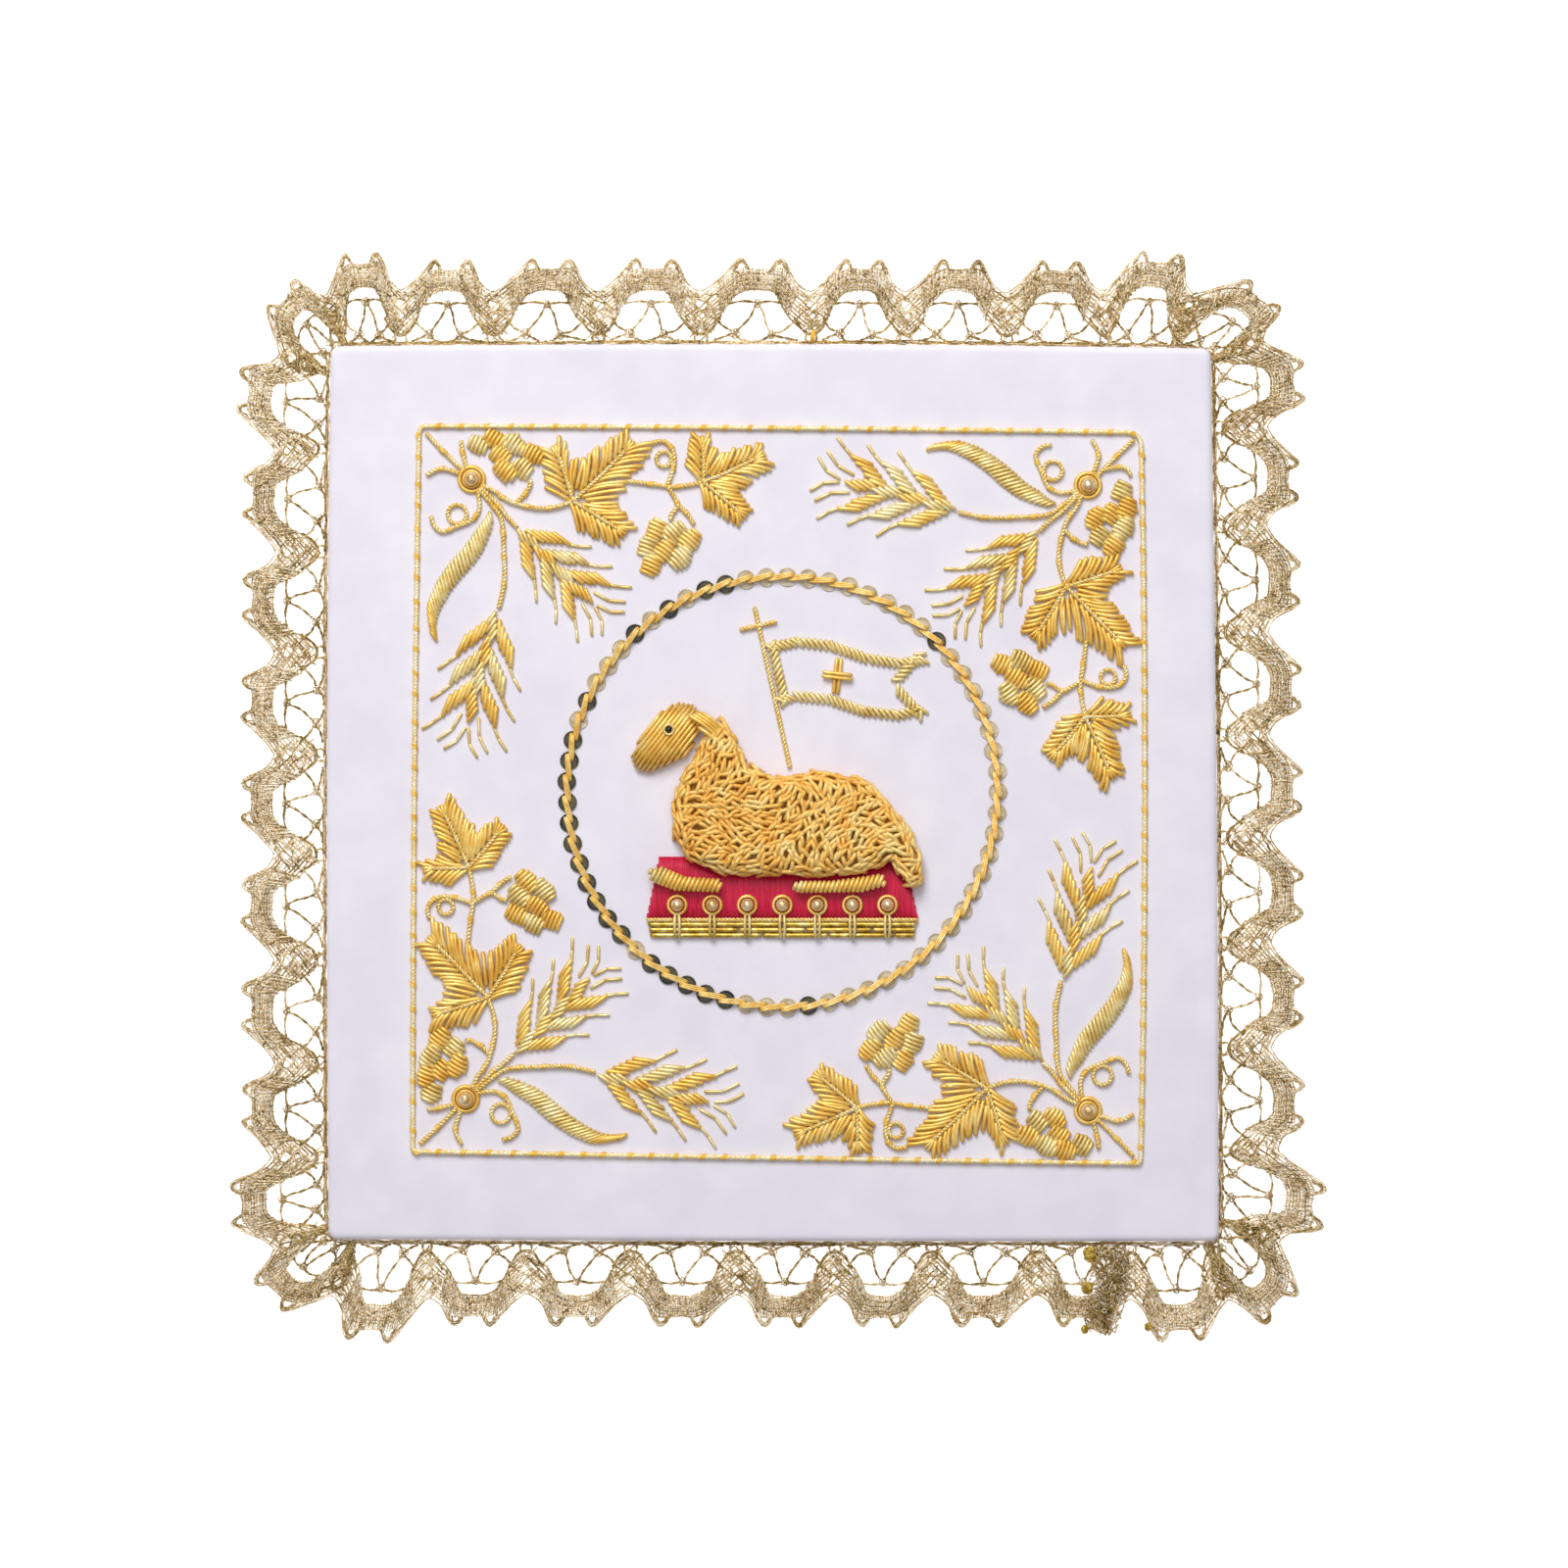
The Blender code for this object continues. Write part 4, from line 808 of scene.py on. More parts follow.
def weave_repeat(threads, repeat, hand):
    """Work one scallop: the trail with its picots, the twisted bars and their knots, and the foot braid."""
    holes = [(lace_spot(repeat, end, height), radius) for end in (0, 1) for height, radius in DIP_HOLES]

    def spot(mark, z):
        plan = lace_spot(repeat, mark[0], mark[1])
        for hole, radius in holes:
            away = plan - hole
            if away.length < radius:
                plan = hole + away.normalized() * radius
        return (plan.x + hand.uniform(-0.09, 0.09), plan.y + hand.uniform(-0.09, 0.09),
                z + hand.uniform(-0.05, 0.05))

    weave_trail(threads, spot, hand)
    weave_dip(threads, spot, hand)
    fill_dip(threads, spot, hand)
    for picot in PICOTS:
        centre = sum((Vector(p) for p in picot), Vector((0, 0))) / len(picot)
        for k in range(4):
            shrink = 0.97 - 0.17 * k + hand.uniform(-0.05, 0.05)
            marks = [centre + (Vector(p) - centre) * shrink for p in picot]
            line = [spot(m, 0.45 + 0.14 * (k % 2)) for m in even(marks, 11)]
            threads.lay(line, THREAD * 0.66, shade=hand.choice((0, 1, 2)))
    for bar in LACE_BARS:
        line = [lace_spot(repeat, *m) for m in even(bar, 11)]
        wobble = Vector((hand.uniform(-0.3, 0.3), hand.uniform(-0.3, 0.3)))
        # The bars take the darker copy two times in three: painted shade along the twisted pairs
        twisted_pair(threads, line, wobble, hand.choice((0, 1, 1)))
    for side in (-1, 1):
        leg = [(0.045 * side, 2.2), (0.06 * side, 1.3), (0.05 * side, 0.4)]
        line = [lace_spot(repeat, *m) for m in even(leg, 5)]
        twisted_pair(threads, line, Vector((0, 0)), 0)
    for (share, height), radius in LACE_KNOTS:
        centre = lace_spot(repeat, share, height)
        for k in range(5):
            loop = polar(centre, 72 * k + hand.uniform(-20, 20), radius * 0.55)
            size = radius * hand.uniform(0.38, 0.58)
            marks = [polar(loop, 45 * i, size * hand.uniform(0.85, 1.15)) for i in range(8)]
            points = [raised(mark, 0.5 + 0.12 * (k % 3)) for mark in marks]
            threads.lay(points, THREAD * 0.62, shade=k % 3, closed=True)
    for k in range(5):
        level = 0.13 * k
        line = [spot((i / 14, level + hand.uniform(-0.16, 0.16)), 0.35 + 0.12 * (k % 3)) for i in range(15)]
        # The foot braid takes the darker copy half the time: painted shade in the crowded braid
        threads.lay(line, THREAD * 0.8, shade=hand.choice((0, 1, 1, 2)))
    if repeat["corner"] is not None:
        for end in (0, 1):
            gather(threads, spot, end, hand)


def lace_edging():
    """Work the four sides of the edging, each with the corner after it."""
    pieces = []
    for side, name in enumerate(("lace_top", "lace_right", "lace_bottom", "lace_left")):
        hand = random.Random(20 + side)
        threads = Threads()
        for repeat in lace_side(side):
            weave_repeat(threads, repeat, hand)
        piece = threads.piece(name, LACE_LOOKS, "lace", ["lace_edging"], sides=4)
        # The lace lies on the table, which is no part of the pall, and is sewn along the cover's edge
        pieces.append(piece)
    return pieces


def join_spot(down, across):
    """Give the plan point at shares of the height and width of the lace's overlap."""
    at = down * (len(JOIN_SHAPE) - 1)
    i = min(int(at), len(JOIN_SHAPE) - 2)
    level, left, right = Vector(JOIN_SHAPE[i]).lerp(Vector(JOIN_SHAPE[i + 1]), at - i)
    return Vector((left + (right - left) * across, level))


def kept_in_join(mark):
    """Turn a thread's point back where it would leave the overlap."""
    top, low = JOIN_SHAPE[0][0], JOIN_SHAPE[-1][0]
    down = clamp((mark.y - top) / (low - top))
    left, right = join_spot(down, 0.0), join_spot(down, 1.0)
    return Vector((clamp(mark.x, left.x, right.x), clamp(mark.y, low, top)))


def lace_join():
    """Crumple the two ends of the lace together where they are sewn over each other."""
    hand = random.Random(7)
    threads = Threads()
    # Short threads on the slant both ways, drawn together in a tangle
    for _ in range(230):
        centre = join_spot(hand.uniform(0.03, 0.97), hand.uniform(0.05, 0.95))
        way = hand.choice((-1, 1)) * hand.uniform(28, 80)
        half = hand.uniform(0.7, 2.3)
        bow = hand.uniform(-0.7, 0.7)
        level = hand.uniform(0.6, 2.3)
        marks = [kept_in_join(polar(centre, way, half * t, bow * (1 - t * t))) for t in (-1, -0.5, 0, 0.5, 1)]
        points = [raised(mark, level + 0.22 * (i % 2)) for i, mark in enumerate(marks)]
        threads.lay(points, THREAD * hand.uniform(0.6, 0.85), shade=hand.choice((0, 0, 1, 1, 2)))
    for _ in range(44):
        centre = join_spot(hand.uniform(0.05, 0.95), hand.uniform(0.15, 0.85))
        radius = hand.uniform(0.35, 0.85)
        level = hand.uniform(1.2, 2.4)
        marks = [polar(centre, 45 * i, radius * hand.uniform(0.6, 1.2)) for i in range(8)]
        points = [raised(mark, level + 0.25 * (i % 2)) for i, mark in enumerate(marks)]
        threads.lay(points, THREAD * 0.65, shade=hand.choice((0, 1, 2)), closed=True)
    # Hairpins of thread hang in a picot at the lower end
    for _ in range(11):
        x = hand.uniform(64.6, 67.8)
        bottom = JOIN_SHAPE[-1][0] - hand.uniform(-1.4, 0.5)
        width = hand.uniform(0.5, 1.2)
        across = (0.0, 0.1, 0.0, 0.2, 0.5, 0.8, 1.0, 0.9, 1.0)
        down = (0.0, 0.3, 0.6, 0.9, 1.0, 0.9, 0.6, 0.3, 0.0)
        marks = [(x + width * a + hand.uniform(-0.4, 0.4) * (1 - d), HAIRPIN_TOP + (bottom - HAIRPIN_TOP) * d,
                  0.6 + hand.uniform(0, 1.0)) for a, d in zip(across, down)]
        threads.lay([tuple(mark) for mark in even(marks, 24)], THREAD * hand.uniform(0.65, 0.9),
                    shade=hand.choice((0, 0, 1, 2)))
    threads.piece("lace_join", LACE_LOOKS, "lace", sides=4)
    shell = bmesh.new()
    lumps = ((63.6, -92.4, 1.5), (63.0, -99.2, 1.2), (62.5, -107.4, 0.8), (75.2, -106.9, 0.8))
    for x, y, radius in lumps:
        made = bmesh.ops.create_icosphere(shell, subdivisions=3, radius=radius * MM)["verts"]
        for vert in made:
            vert.co *= hand.uniform(0.78, 1.1)
            vert.co.y *= 1.1
            vert.co.z *= 0.6
        bmesh.ops.translate(shell, vec=place(x, y, 1.3), verts=made)
    show("lace_join_ends", mesh_from(shell, "lace_join_ends"), ["foil"])


def lace_tie():
    """Leave the yellow tacking stitch that catches the lace near the middle of the top side."""
    threads = Threads()
    for k in range(3):
        points = [(7.6 + 0.3 * k, 90.4, 0.9), (7.7 + 0.3 * k, 91.6, 1.4), (7.9 + 0.25 * k, 92.8, 0.9)]
        threads.lay(points, 0.16)
    threads.piece("lace_tie", ["couching"], "cord")


# Border and medallion

def border_line():
    """Give the border's line in short steps, clockwise from its top left corner."""
    points = []
    steps = 90
    for index, corner in enumerate(BORDER_CORNERS):
        here = Vector(corner)
        after = Vector(BORDER_CORNERS[(index + 1) % 4])
        arriving = (here - Vector(BORDER_CORNERS[index - 1])).normalized()
        leaving = (after - here).normalized()
        outward = left_of(leaving)
        turn, next_turn = BORDER_TURNS[index], BORDER_TURNS[(index + 1) % 4]
        for k in range(5):
            share = k / 4
            inner = (here - arriving * turn).lerp(here, share)
            points.append(inner.lerp(here.lerp(here + leaving * turn, share), share))
        length = (after - here).length
        for step in range(1, steps):
            share = step / steps
            if turn + 1 < share * length < length - next_turn - 1:
                points.append(here.lerp(after, share) + outward * BORDER_BOW[index] * 4 * share * (1 - share))
    return points


def couch(threads, line, height, half, closed=False):
    """Tie a cord down with small groups of slanting stitches."""
    hand = random.Random(3)
    path = smooth_line(line, COUCH_PITCH, closed)
    count = len(path)
    for i in range(0 if closed else 1, count if closed else count - 1):
        along = (path[(i + 1) % count] - path[i - 1]).normalized()
        across = left_of(along)
        drift = hand.uniform(-0.6, 0.6)
        for k in (-1.5, -0.5, 0.5, 1.5):
            points = []
            for c, z in ((-1, -0.7), (-0.8, 0.35), (-0.35, 0.8), (0.35, 0.8), (0.8, 0.35), (1, -0.7)):
                mark = path[i] + along * (0.27 * k + drift + 0.3 * c) + across * half * c
                points.append(raised(mark, height + half * z))
            threads.lay(points, 0.15, shade=1)


def border_cord():
    """Couch the twisted border cord down with deep yellow stitches."""
    threads = Threads()
    line = border_line()
    height = STITCH_BASE + 0.62
    threads.twist(line, height, 3, 1.08, lay=1.9, closed=True, steps=5)
    couch(threads, line, height, 0.5, closed=True)
    threads.piece("border_threads", ["border", "couching"], "cord", ["border_cord"])


def sequin_mesh():
    """Press one sequin: a thin disc with a raised rim."""
    shell = bmesh.new()
    bmesh.ops.create_circle(shell, cap_ends=True, segments=16, radius=SEQUIN_RADIUS * MM)
    disc = shell.faces[:]
    bmesh.ops.inset_individual(shell, faces=disc, thickness=0.22 * MM)
    bmesh.ops.inset_individual(shell, faces=disc, thickness=0.16 * MM, depth=-0.1 * MM)
    bmesh.ops.solidify(shell, geom=shell.faces[:], thickness=0.12 * MM)
    bmesh.ops.recalc_face_normals(shell, faces=shell.faces)
    return mesh_from(shell, "sequin")


def sequin_ring():
    """Set the sequins round the medallion, dark ones mostly down its left side."""
    hand = random.Random(5)
    single = sequin_mesh()
    shell = bmesh.new()
    for k in range(SEQUIN_COUNT):
        turn = 360.0 * k / SEQUIN_COUNT
        spot = polar(MEDALLION_CENTRE, turn, MEDALLION_RADIUS + hand.uniform(-0.12, 0.12))
        tilt = Matrix.Rotation(math.radians(hand.uniform(-4, 4)), 4, "X")
        turned = Matrix.Translation(place(spot.x, spot.y, STITCH_BASE + 0.3))
        before = len(shell.faces)
        shell.from_mesh(single)
        shell.verts.ensure_lookup_table()
        shell.faces.ensure_lookup_table()
        fresh = shell.verts[-len(single.vertices):]
        bmesh.ops.transform(shell, matrix=turned @ Matrix.Rotation(math.radians(turn), 4, "Z") @ tilt,
                            verts=fresh)
        dark = hand.random() < (0.85 if 150 < turn < 262 else 0.5 if 105 < turn < 285 else 0.03)
        for face in shell.faces[before:]:
            face.material_index = 1 if dark else 0
    mesh = mesh_from(shell, "sequins")
    bpy.data.meshes.remove(single)
    show("sequins", mesh, ["sequin", "dark_sequin"], ["sequin_band"])


def medallion_cord():
    """Stem-stitch trebled threads over the sequins, each stitch from inside one to outside the next."""
    threads = Threads()
    pitch = 360.0 / SEQUIN_COUNT
    for k in range(SEQUIN_COUNT):
        start = polar(MEDALLION_CENTRE, -pitch * k, MEDALLION_RADIUS - 0.5)
        end = polar(MEDALLION_CENTRE, -pitch * (k + 1.3), MEDALLION_RADIUS + 0.5)
        along = (end - start).normalized()
        across = left_of(along)
        for aside in (-0.36, 0.0, 0.36):
            points = []
            for t, rise, spread in ((0.0, 0.5, 0.5), (0.13, 0.8, 0.9), (0.4, 1.05, 1.05), (0.65, 1.35, 0.95),
                                    (0.88, 1.45, 0.8), (1.0, 1.1, 0.5)):
                spot = start.lerp(end, t) + across * aside * spread
                points.append(raised(spot, STITCH_BASE + rise))
            threads.lay(points, 0.23)
    threads.piece("medallion_threads", ["passing"], "cord", ["medallion_cord"])


# Sprigs

class Sprig:
    """One corner's sprig: turns places along the two sides of its corner into plan points."""

    def __init__(self, index):
        self.index = index
        self.corner = Vector(BORDER_CORNERS[index])
        self.turn = Matrix.Rotation(-math.pi / 2 * index, 2)
        self.bearing = -90.0 * index
        self.hand = random.Random(40 + index)

    def spot(self, mark):
        """Give the plan point of a place measured along one side, then along the other."""
        return self.corner + self.turn @ Vector((mark[0], -mark[1]))

    def name(self, plain):
        """Give a name with this corner's number after it."""
        return f"{plain}_{self.index + 1}"


def sprig_cords(sprig):
    """Couch the stems, tendrils and leaf veins in twisted cord."""
    threads = Threads()
    height = STITCH_BASE + 0.6
    changed = CHANGED_CORDS.get(sprig.index, {})
    lines = [[sprig.spot(mark) for mark in changed.get(order, line)]
             for order, line in enumerate(SPRIG_CORDS)]
    for line in lines:
        couch(threads, line, height, 0.46)
    for mark, lobes, _ in LEAVES:
        centre = sprig.spot(mark)
        for bearing, length in lobes:
            end = polar(centre, bearing + sprig.bearing, length * 0.86)
            lines.append([centre, centre.lerp(end, 0.5) + Vector((0.15, -0.1)), end])
    for order, line in enumerate(lines):
        lift = 0.35 if order >= len(SPRIG_CORDS) else 0.04 * (order % 4)
        threads.twist(line, height + lift, 2, 1.05 if order < len(SPRIG_CORDS) else 0.95, steps=6)
    for centre, radius in TENDRIL_RINGS:
        middle = sprig.spot(centre)
        circle = [polar(middle, a, radius) for a in range(0, 360, 45)]
        threads.twist(circle, height, 2, 0.95, closed=True)
    threads.piece(sprig.name("sprig_cords"), ["sprig", "couching"], "cord",
                  [sprig.name("stem_root"), sprig.name("stem_tip")])


def leaf_chips(sprig):
    """Lay curved chips close together on both sides of every vein."""
    threads = Threads()
    hand = sprig.hand
    thick = 0.92
    for mark, lobes, size in LEAVES:
        centre = sprig.spot(mark)
        for (bearing, length), sides in zip(lobes, LOBE_CHIPS):
            vein = bearing + sprig.bearing
            for side, (splay, near, far, first) in zip((1, -1), sides):
                pitch = 0.87 / math.sin(math.radians(splay))
                reach = first * size
                while reach < length - 1.2:
                    share = reach / length
                    run = (near + (far - near) * share) * size * hand.uniform(0.92, 1.08)
                    way = vein + side * (splay + hand.uniform(-3, 3))
                    start = polar(centre, vein, reach, side * 0.4)
                    threads.chip(start, polar(start, way, run), thick, bow=-side * hand.uniform(0.02, 0.08),
                                 arch=0.3, base=STITCH_BASE + hand.uniform(0.0, 0.12))
                    reach += pitch * hand.uniform(0.92, 1.06)
            tip = polar(centre, vein, length - 2.4)
            for turn in (-20, 0, 18):
                threads.chip(tip, polar(tip, vein + turn, 2.7), 0.72, base=STITCH_BASE + 0.3)
        for (one, first_length), (two, second_length) in zip(lobes, lobes[1:]):
            notch = (one + two) / 2 + sprig.bearing
            reach = 0.31 * (first_length + second_length)
            for aside in (-0.9, 0.0, 0.9):
                start = polar(centre, notch, 2.4 * size + abs(aside), aside)
                threads.chip(start, polar(centre, notch, reach + hand.uniform(-0.5, 0.5), aside * 1.5), thick,
                             arch=0.3)
    threads.piece(sprig.name("leaf_chips"), ["purl"], "chips",
                  [sprig.name("leaf_a"), sprig.name("leaf_b")])


def grape_chips(sprig):
    """Fill each grape with parallel chips, some grapes pale and some yellow."""
    threads = Threads()
    hand = sprig.hand
    for cluster in GRAPES:
        for order, (mark, bearing, shade) in enumerate(cluster):
            centre = sprig.spot(mark)
            way = bearing + sprig.bearing + hand.uniform(-5, 5)
            count = 5 if order % 3 == 0 else 6
            for k in range(count):
                aside = (k - (count - 1) / 2) * 0.82
                half = 2.0 * math.sqrt(1 - (aside / 2.6) ** 2) * hand.uniform(0.9, 1.06)
                slip = hand.uniform(-0.2, 0.2)
                start = polar(centre, way, slip - half, aside)
                end = polar(centre, way, slip + half, aside)
                threads.chip(start, end, 0.82, shade=shade, bow=0.03, arch=0.3,
                             base=STITCH_BASE + 0.12 * (order % 3))
    threads.piece(sprig.name("grape_chips"), ["purl", "pale_purl"], "chips",
                  [sprig.name("grapes_a"), sprig.name("grapes_b")])


def wheat_chips(sprig):
    """Work the ears: three pairs of stepped grains, their awns, and the middle row."""
    threads = Threads()
    hand = sprig.hand
    for mark, own_bearing, scale in EARS:
        foot = sprig.spot(mark)
        bearing = own_bearing + sprig.bearing

        def at(along, out):
            return polar(foot, bearing, along * scale, out * scale)

        def awn(marks, side):
            for one, two in zip(marks, marks[1:]):
                threads.chip(at(one[0], side * one[1]), at(two[0], side * two[1]), 0.64, shade=1, arch=0.1)

        for pair, start in enumerate(GRAIN_STARTS):
            for side in (1, -1):
                for k in range(5):
                    along = start + 1.12 * k
                    out = 0.95 + 0.92 * k
                    lean = math.tan(math.radians(9 + hand.uniform(-2, 2)))
                    run = 4.6 + hand.uniform(-0.3, 0.2)
                    threads.chip(at(along, side * out), at(along + run, side * (out + run * lean)), 0.95,
                                 shade=1 if pair == 1 else 0, arch=0.25)
                tip = (start + 8.4, 5.0)
                knee = (tip[0] + 2.3, tip[1] + 1.7 + hand.uniform(-0.2, 0.2))
                awn([tip, knee, (knee[0] + 2.0, knee[1] + 1.9 + hand.uniform(-0.3, 0.3))], side)
        slant = math.tan(math.radians(-20))
        for block, low in enumerate((0.2, 5.2, 10.6, 16.2)):
            for k in range(4):
                along = low + 1.15 * k
                out = -0.15 + 0.4 * k
                threads.chip(at(along, out), at(along + 3.4, out + 3.4 * slant), 0.8, shade=1 - block % 2,
                             base=STITCH_BASE + 0.3)
        for side in (1, -1):
            awn([(21.6, 1.8), (25.2, 2.8), (28.0, 5.2)], side)
            awn([(24.1, 0.3), (27.2, 1.3), (29.4, 3.5)], side)
    threads.piece(sprig.name("wheat_chips"), ["purl", "pale_purl"], "chips",
                  [sprig.name("wheat_a"), sprig.name("wheat_b")])


def blade_chips(sprig):
    """Work the long leaf as a band of steep pale chips."""
    threads = Threads()
    hand = sprig.hand
    line = smooth_line([sprig.spot(mark) for mark in BLADE_LINE], 0.95)
    for i, spot in enumerate(line):
        share = i / (len(line) - 1)
        half = 2.2 * min(1.0, 0.5 + 3.0 * share, 0.55 + 3.0 * (1 - share))
        way = 105.0 + sprig.bearing + 14.0 * max(0.0, share - 0.8) / 0.2 + hand.uniform(-2, 2)
        threads.chip(polar(spot, way, -half), polar(spot, way, half), 0.8, shade=0 if share < 0.8 else 1,
                     arch=0.35)
    threads.piece(sprig.name("blade_chips"), ["pale_purl", "purl"], "chips", [sprig.name("blade")])


def ball(name, spots, radius, height, looks, nodes=()):
    """Set round beads at plan points."""
    shell = bmesh.new()
    for spot in spots:
        fresh = bmesh.ops.create_icosphere(shell, subdivisions=3, radius=radius * MM)["verts"]
        bmesh.ops.translate(shell, vec=place(spot[0], spot[1], height), verts=fresh)
    for face in shell.faces:
        face.smooth = True
    return show(name, mesh_from(shell, name), looks, nodes)


def hub_rings(sprig):
    """Ring the corner bead with two turns of bullion."""
    threads = Threads()
    centre = sprig.spot(HUB_AT)
    threads.ring(centre, 1.7, STITCH_BASE + 0.7, 0.58, count=20)
    threads.ring(centre, 2.48, STITCH_BASE + 0.45, 0.86, count=24)
    threads.piece(sprig.name("hub_rings"), ["purl"], "chips")
    ball(sprig.name("hub_bead"), [centre], 1.5, STITCH_BASE + 1.45, ["bead"], [sprig.name("corner_bead")])


# Figure

def inside(outline, point):
    """Say whether a plan point lies in an outline."""
    cuts = crossings(outline, Vector(point), Vector((1.0, 0.0)))
    return len([c for c in cuts if c > 0]) % 2 == 1


def nearest_edge(outline, point):
    """Give the distance from a point to the nearest side of an outline, and that side's bearing."""
    best = (1e9, 0.0)
    for i, second in enumerate(outline):
        one, two = Vector(outline[i - 1]), Vector(second)
        along = two - one
        share = clamp((point - one).dot(along) / along.length_squared)
        bearing = math.degrees(math.atan2(along.y, along.x))
        best = min(best, ((point - one - along * share).length, bearing))
    return best


def swell(outline, point, rise, reach):
    """Give the height of the padding over a point: rounded at the edge, level in the middle."""
    share = 1 - min(nearest_edge(outline, Vector(point))[0] / reach, 1.0)
    return rise * math.sqrt(max(0.0, 1 - share * share))


def limits(outline):
    """Give the lowest and the highest x and y of an outline."""
    return [[pick(p[i] for p in outline) for i in (0, 1)] for pick in (min, max)]


def padding(name, outline, rise, reach, nodes):
    """Make the felt padding under raised work: cells inside the outline, swelling to the middle."""
    low, high = (Vector(corner) for corner in limits(outline))
    cell = 0.6
    steps = [math.ceil((high[i] - low[i]) / cell) for i in (0, 1)]
    shell = bmesh.new()
    bmesh.ops.create_grid(shell, x_segments=steps[0], y_segments=steps[1], size=0.5)
    for vert in shell.verts:
        vert.co.x = low.x + (vert.co.x + 0.5) * (high.x - low.x)
        vert.co.y = low.y + (vert.co.y + 0.5) * (high.y - low.y)
    margin = 0.45
    outer = [face for face in shell.faces
             if not inside(outline, face.calc_center_median().xy)
             or nearest_edge(outline, face.calc_center_median().xy)[0] < margin]
    bmesh.ops.delete(shell, geom=outer, context="FACES")
    lower = shell.faces[:]
    grown = bmesh.ops.extrude_face_region(shell, geom=lower)["geom"]
    upper = {item for item in grown if isinstance(item, bmesh.types.BMVert)}
    for vert in shell.verts:
        ground = swell(outline, vert.co.xy, rise - 0.5, reach) if vert in upper else 0.0
        vert.co = place(vert.co.x, vert.co.y, STITCH_BASE + ground)
    bmesh.ops.recalc_face_normals(shell, faces=shell.faces)
    mesh = mesh_from(shell, name)
    return show(name, mesh, ["felt"], nodes)


def lamb_fleece():
    """Cover the body with short arched chips of purl, combed this way and that."""
    outline = in_medallion(LAMB_BODY)
    hand = random.Random(12)
    rise, reach = 4.6, 4.2
    padding("lamb_padding", outline, rise, reach, ["lamb_body"])
    low, high = limits(outline)
    spots = []
    for _ in range(14000):
        point = Vector((hand.uniform(low[0], high[0]), hand.uniform(low[1], high[1])))
        if not inside(outline, point) or nearest_edge(outline, point)[0] < 0.25:
            continue
        if all((point - other).length > 0.94 for other in spots):
            spots.append(point)
    threads = Threads()
    for point in spots:
        way = 60 + 45 * math.sin(point.x / 5.5) + 35 * math.sin(point.y / 4.0) + hand.choice((-28, 26))
        way += hand.uniform(-14, 14)
        near, bearing = nearest_edge(outline, point)
        if near < 2.0:
            way = bearing + hand.uniform(-18, 18)
        half = hand.uniform(1.25, 1.75)
        curl = hand.choice((-1, 1)) * hand.uniform(5, 34)
        level = hand.uniform(0.2, 0.6)
        points = []
        radii = []
        for t in (0.0, 0.1, 0.36, 0.64, 0.9, 1.0):
            spot = polar(point, way + curl * (t - 0.5), (t - 0.5) * 2 * half)
            ground = swell(outline, spot, rise, reach) if inside(outline, spot) else 0.0
            points.append(raised(spot, STITCH_BASE + level + ground + 0.85 * math.sin(math.pi * t)))
            radii.append(0.44 * (0.75 if t in (0.0, 1.0) else 1.0))
        threads.lay(points, radii)
    threads.piece("lamb_fleece", ["fleece"], "chips")


def lamb_head():
    """Cover the head with long smooth chips, and add an ear and an eye."""
    outline = in_medallion(LAMB_HEAD)
    rise, reach = 3.4, 4.5
    padding("head_padding", outline, rise, reach, ["lamb_head"])
    threads = Threads()
    for start, end in hatch(outline, 52.0, 0.8, 0.1):
        points = []
        radii = []
        for i in range(7):
            t = i / 6
            spot = start.lerp(end, t)
            ground = swell(outline, spot, rise, reach)
            points.append(raised(spot, STITCH_BASE + 0.35 + ground))
            radii.append(0.42 * (0.7 if i in (0, 6) else 1.0))
        threads.lay(points, radii)
    for start, end in hatch(in_medallion(LAMB_EAR), -40.0, 0.72):
        threads.chip(start, end, 0.8, base=STITCH_BASE + 4.1, arch=0.6, bow=0.06)
    eye = in_medallion([LAMB_EYE])[0]
    threads.ring(eye, 1.0, STITCH_BASE + 4.3, 0.55, shade=1, count=12)
    threads.piece("lamb_face", ["purl", "pale_purl"], "chips")
    ball("lamb_eye", [eye], 0.62, STITCH_BASE + 4.2, ["jet"])


def lamb_legs():
    """Work the two legs in slanting chips, with pale hooves."""
    threads = Threads()
    for outline, bearing in ((FORELEG, 62.0), (HINDLEG, 66.0)):
        outline = in_medallion(outline)
        left_end = min(p[0] for p in outline)
        for start, end in hatch(outline, bearing, 0.84):
            hoof = start.x < left_end + 2.6
            threads.chip(start, end, 0.86, base=STITCH_BASE + 2.5, arch=0.5, shade=1 if hoof else 0)
    threads.piece("lamb_legs", ["purl", "pale_purl"], "chips", ["lamb_foreleg", "lamb_hindleg"])


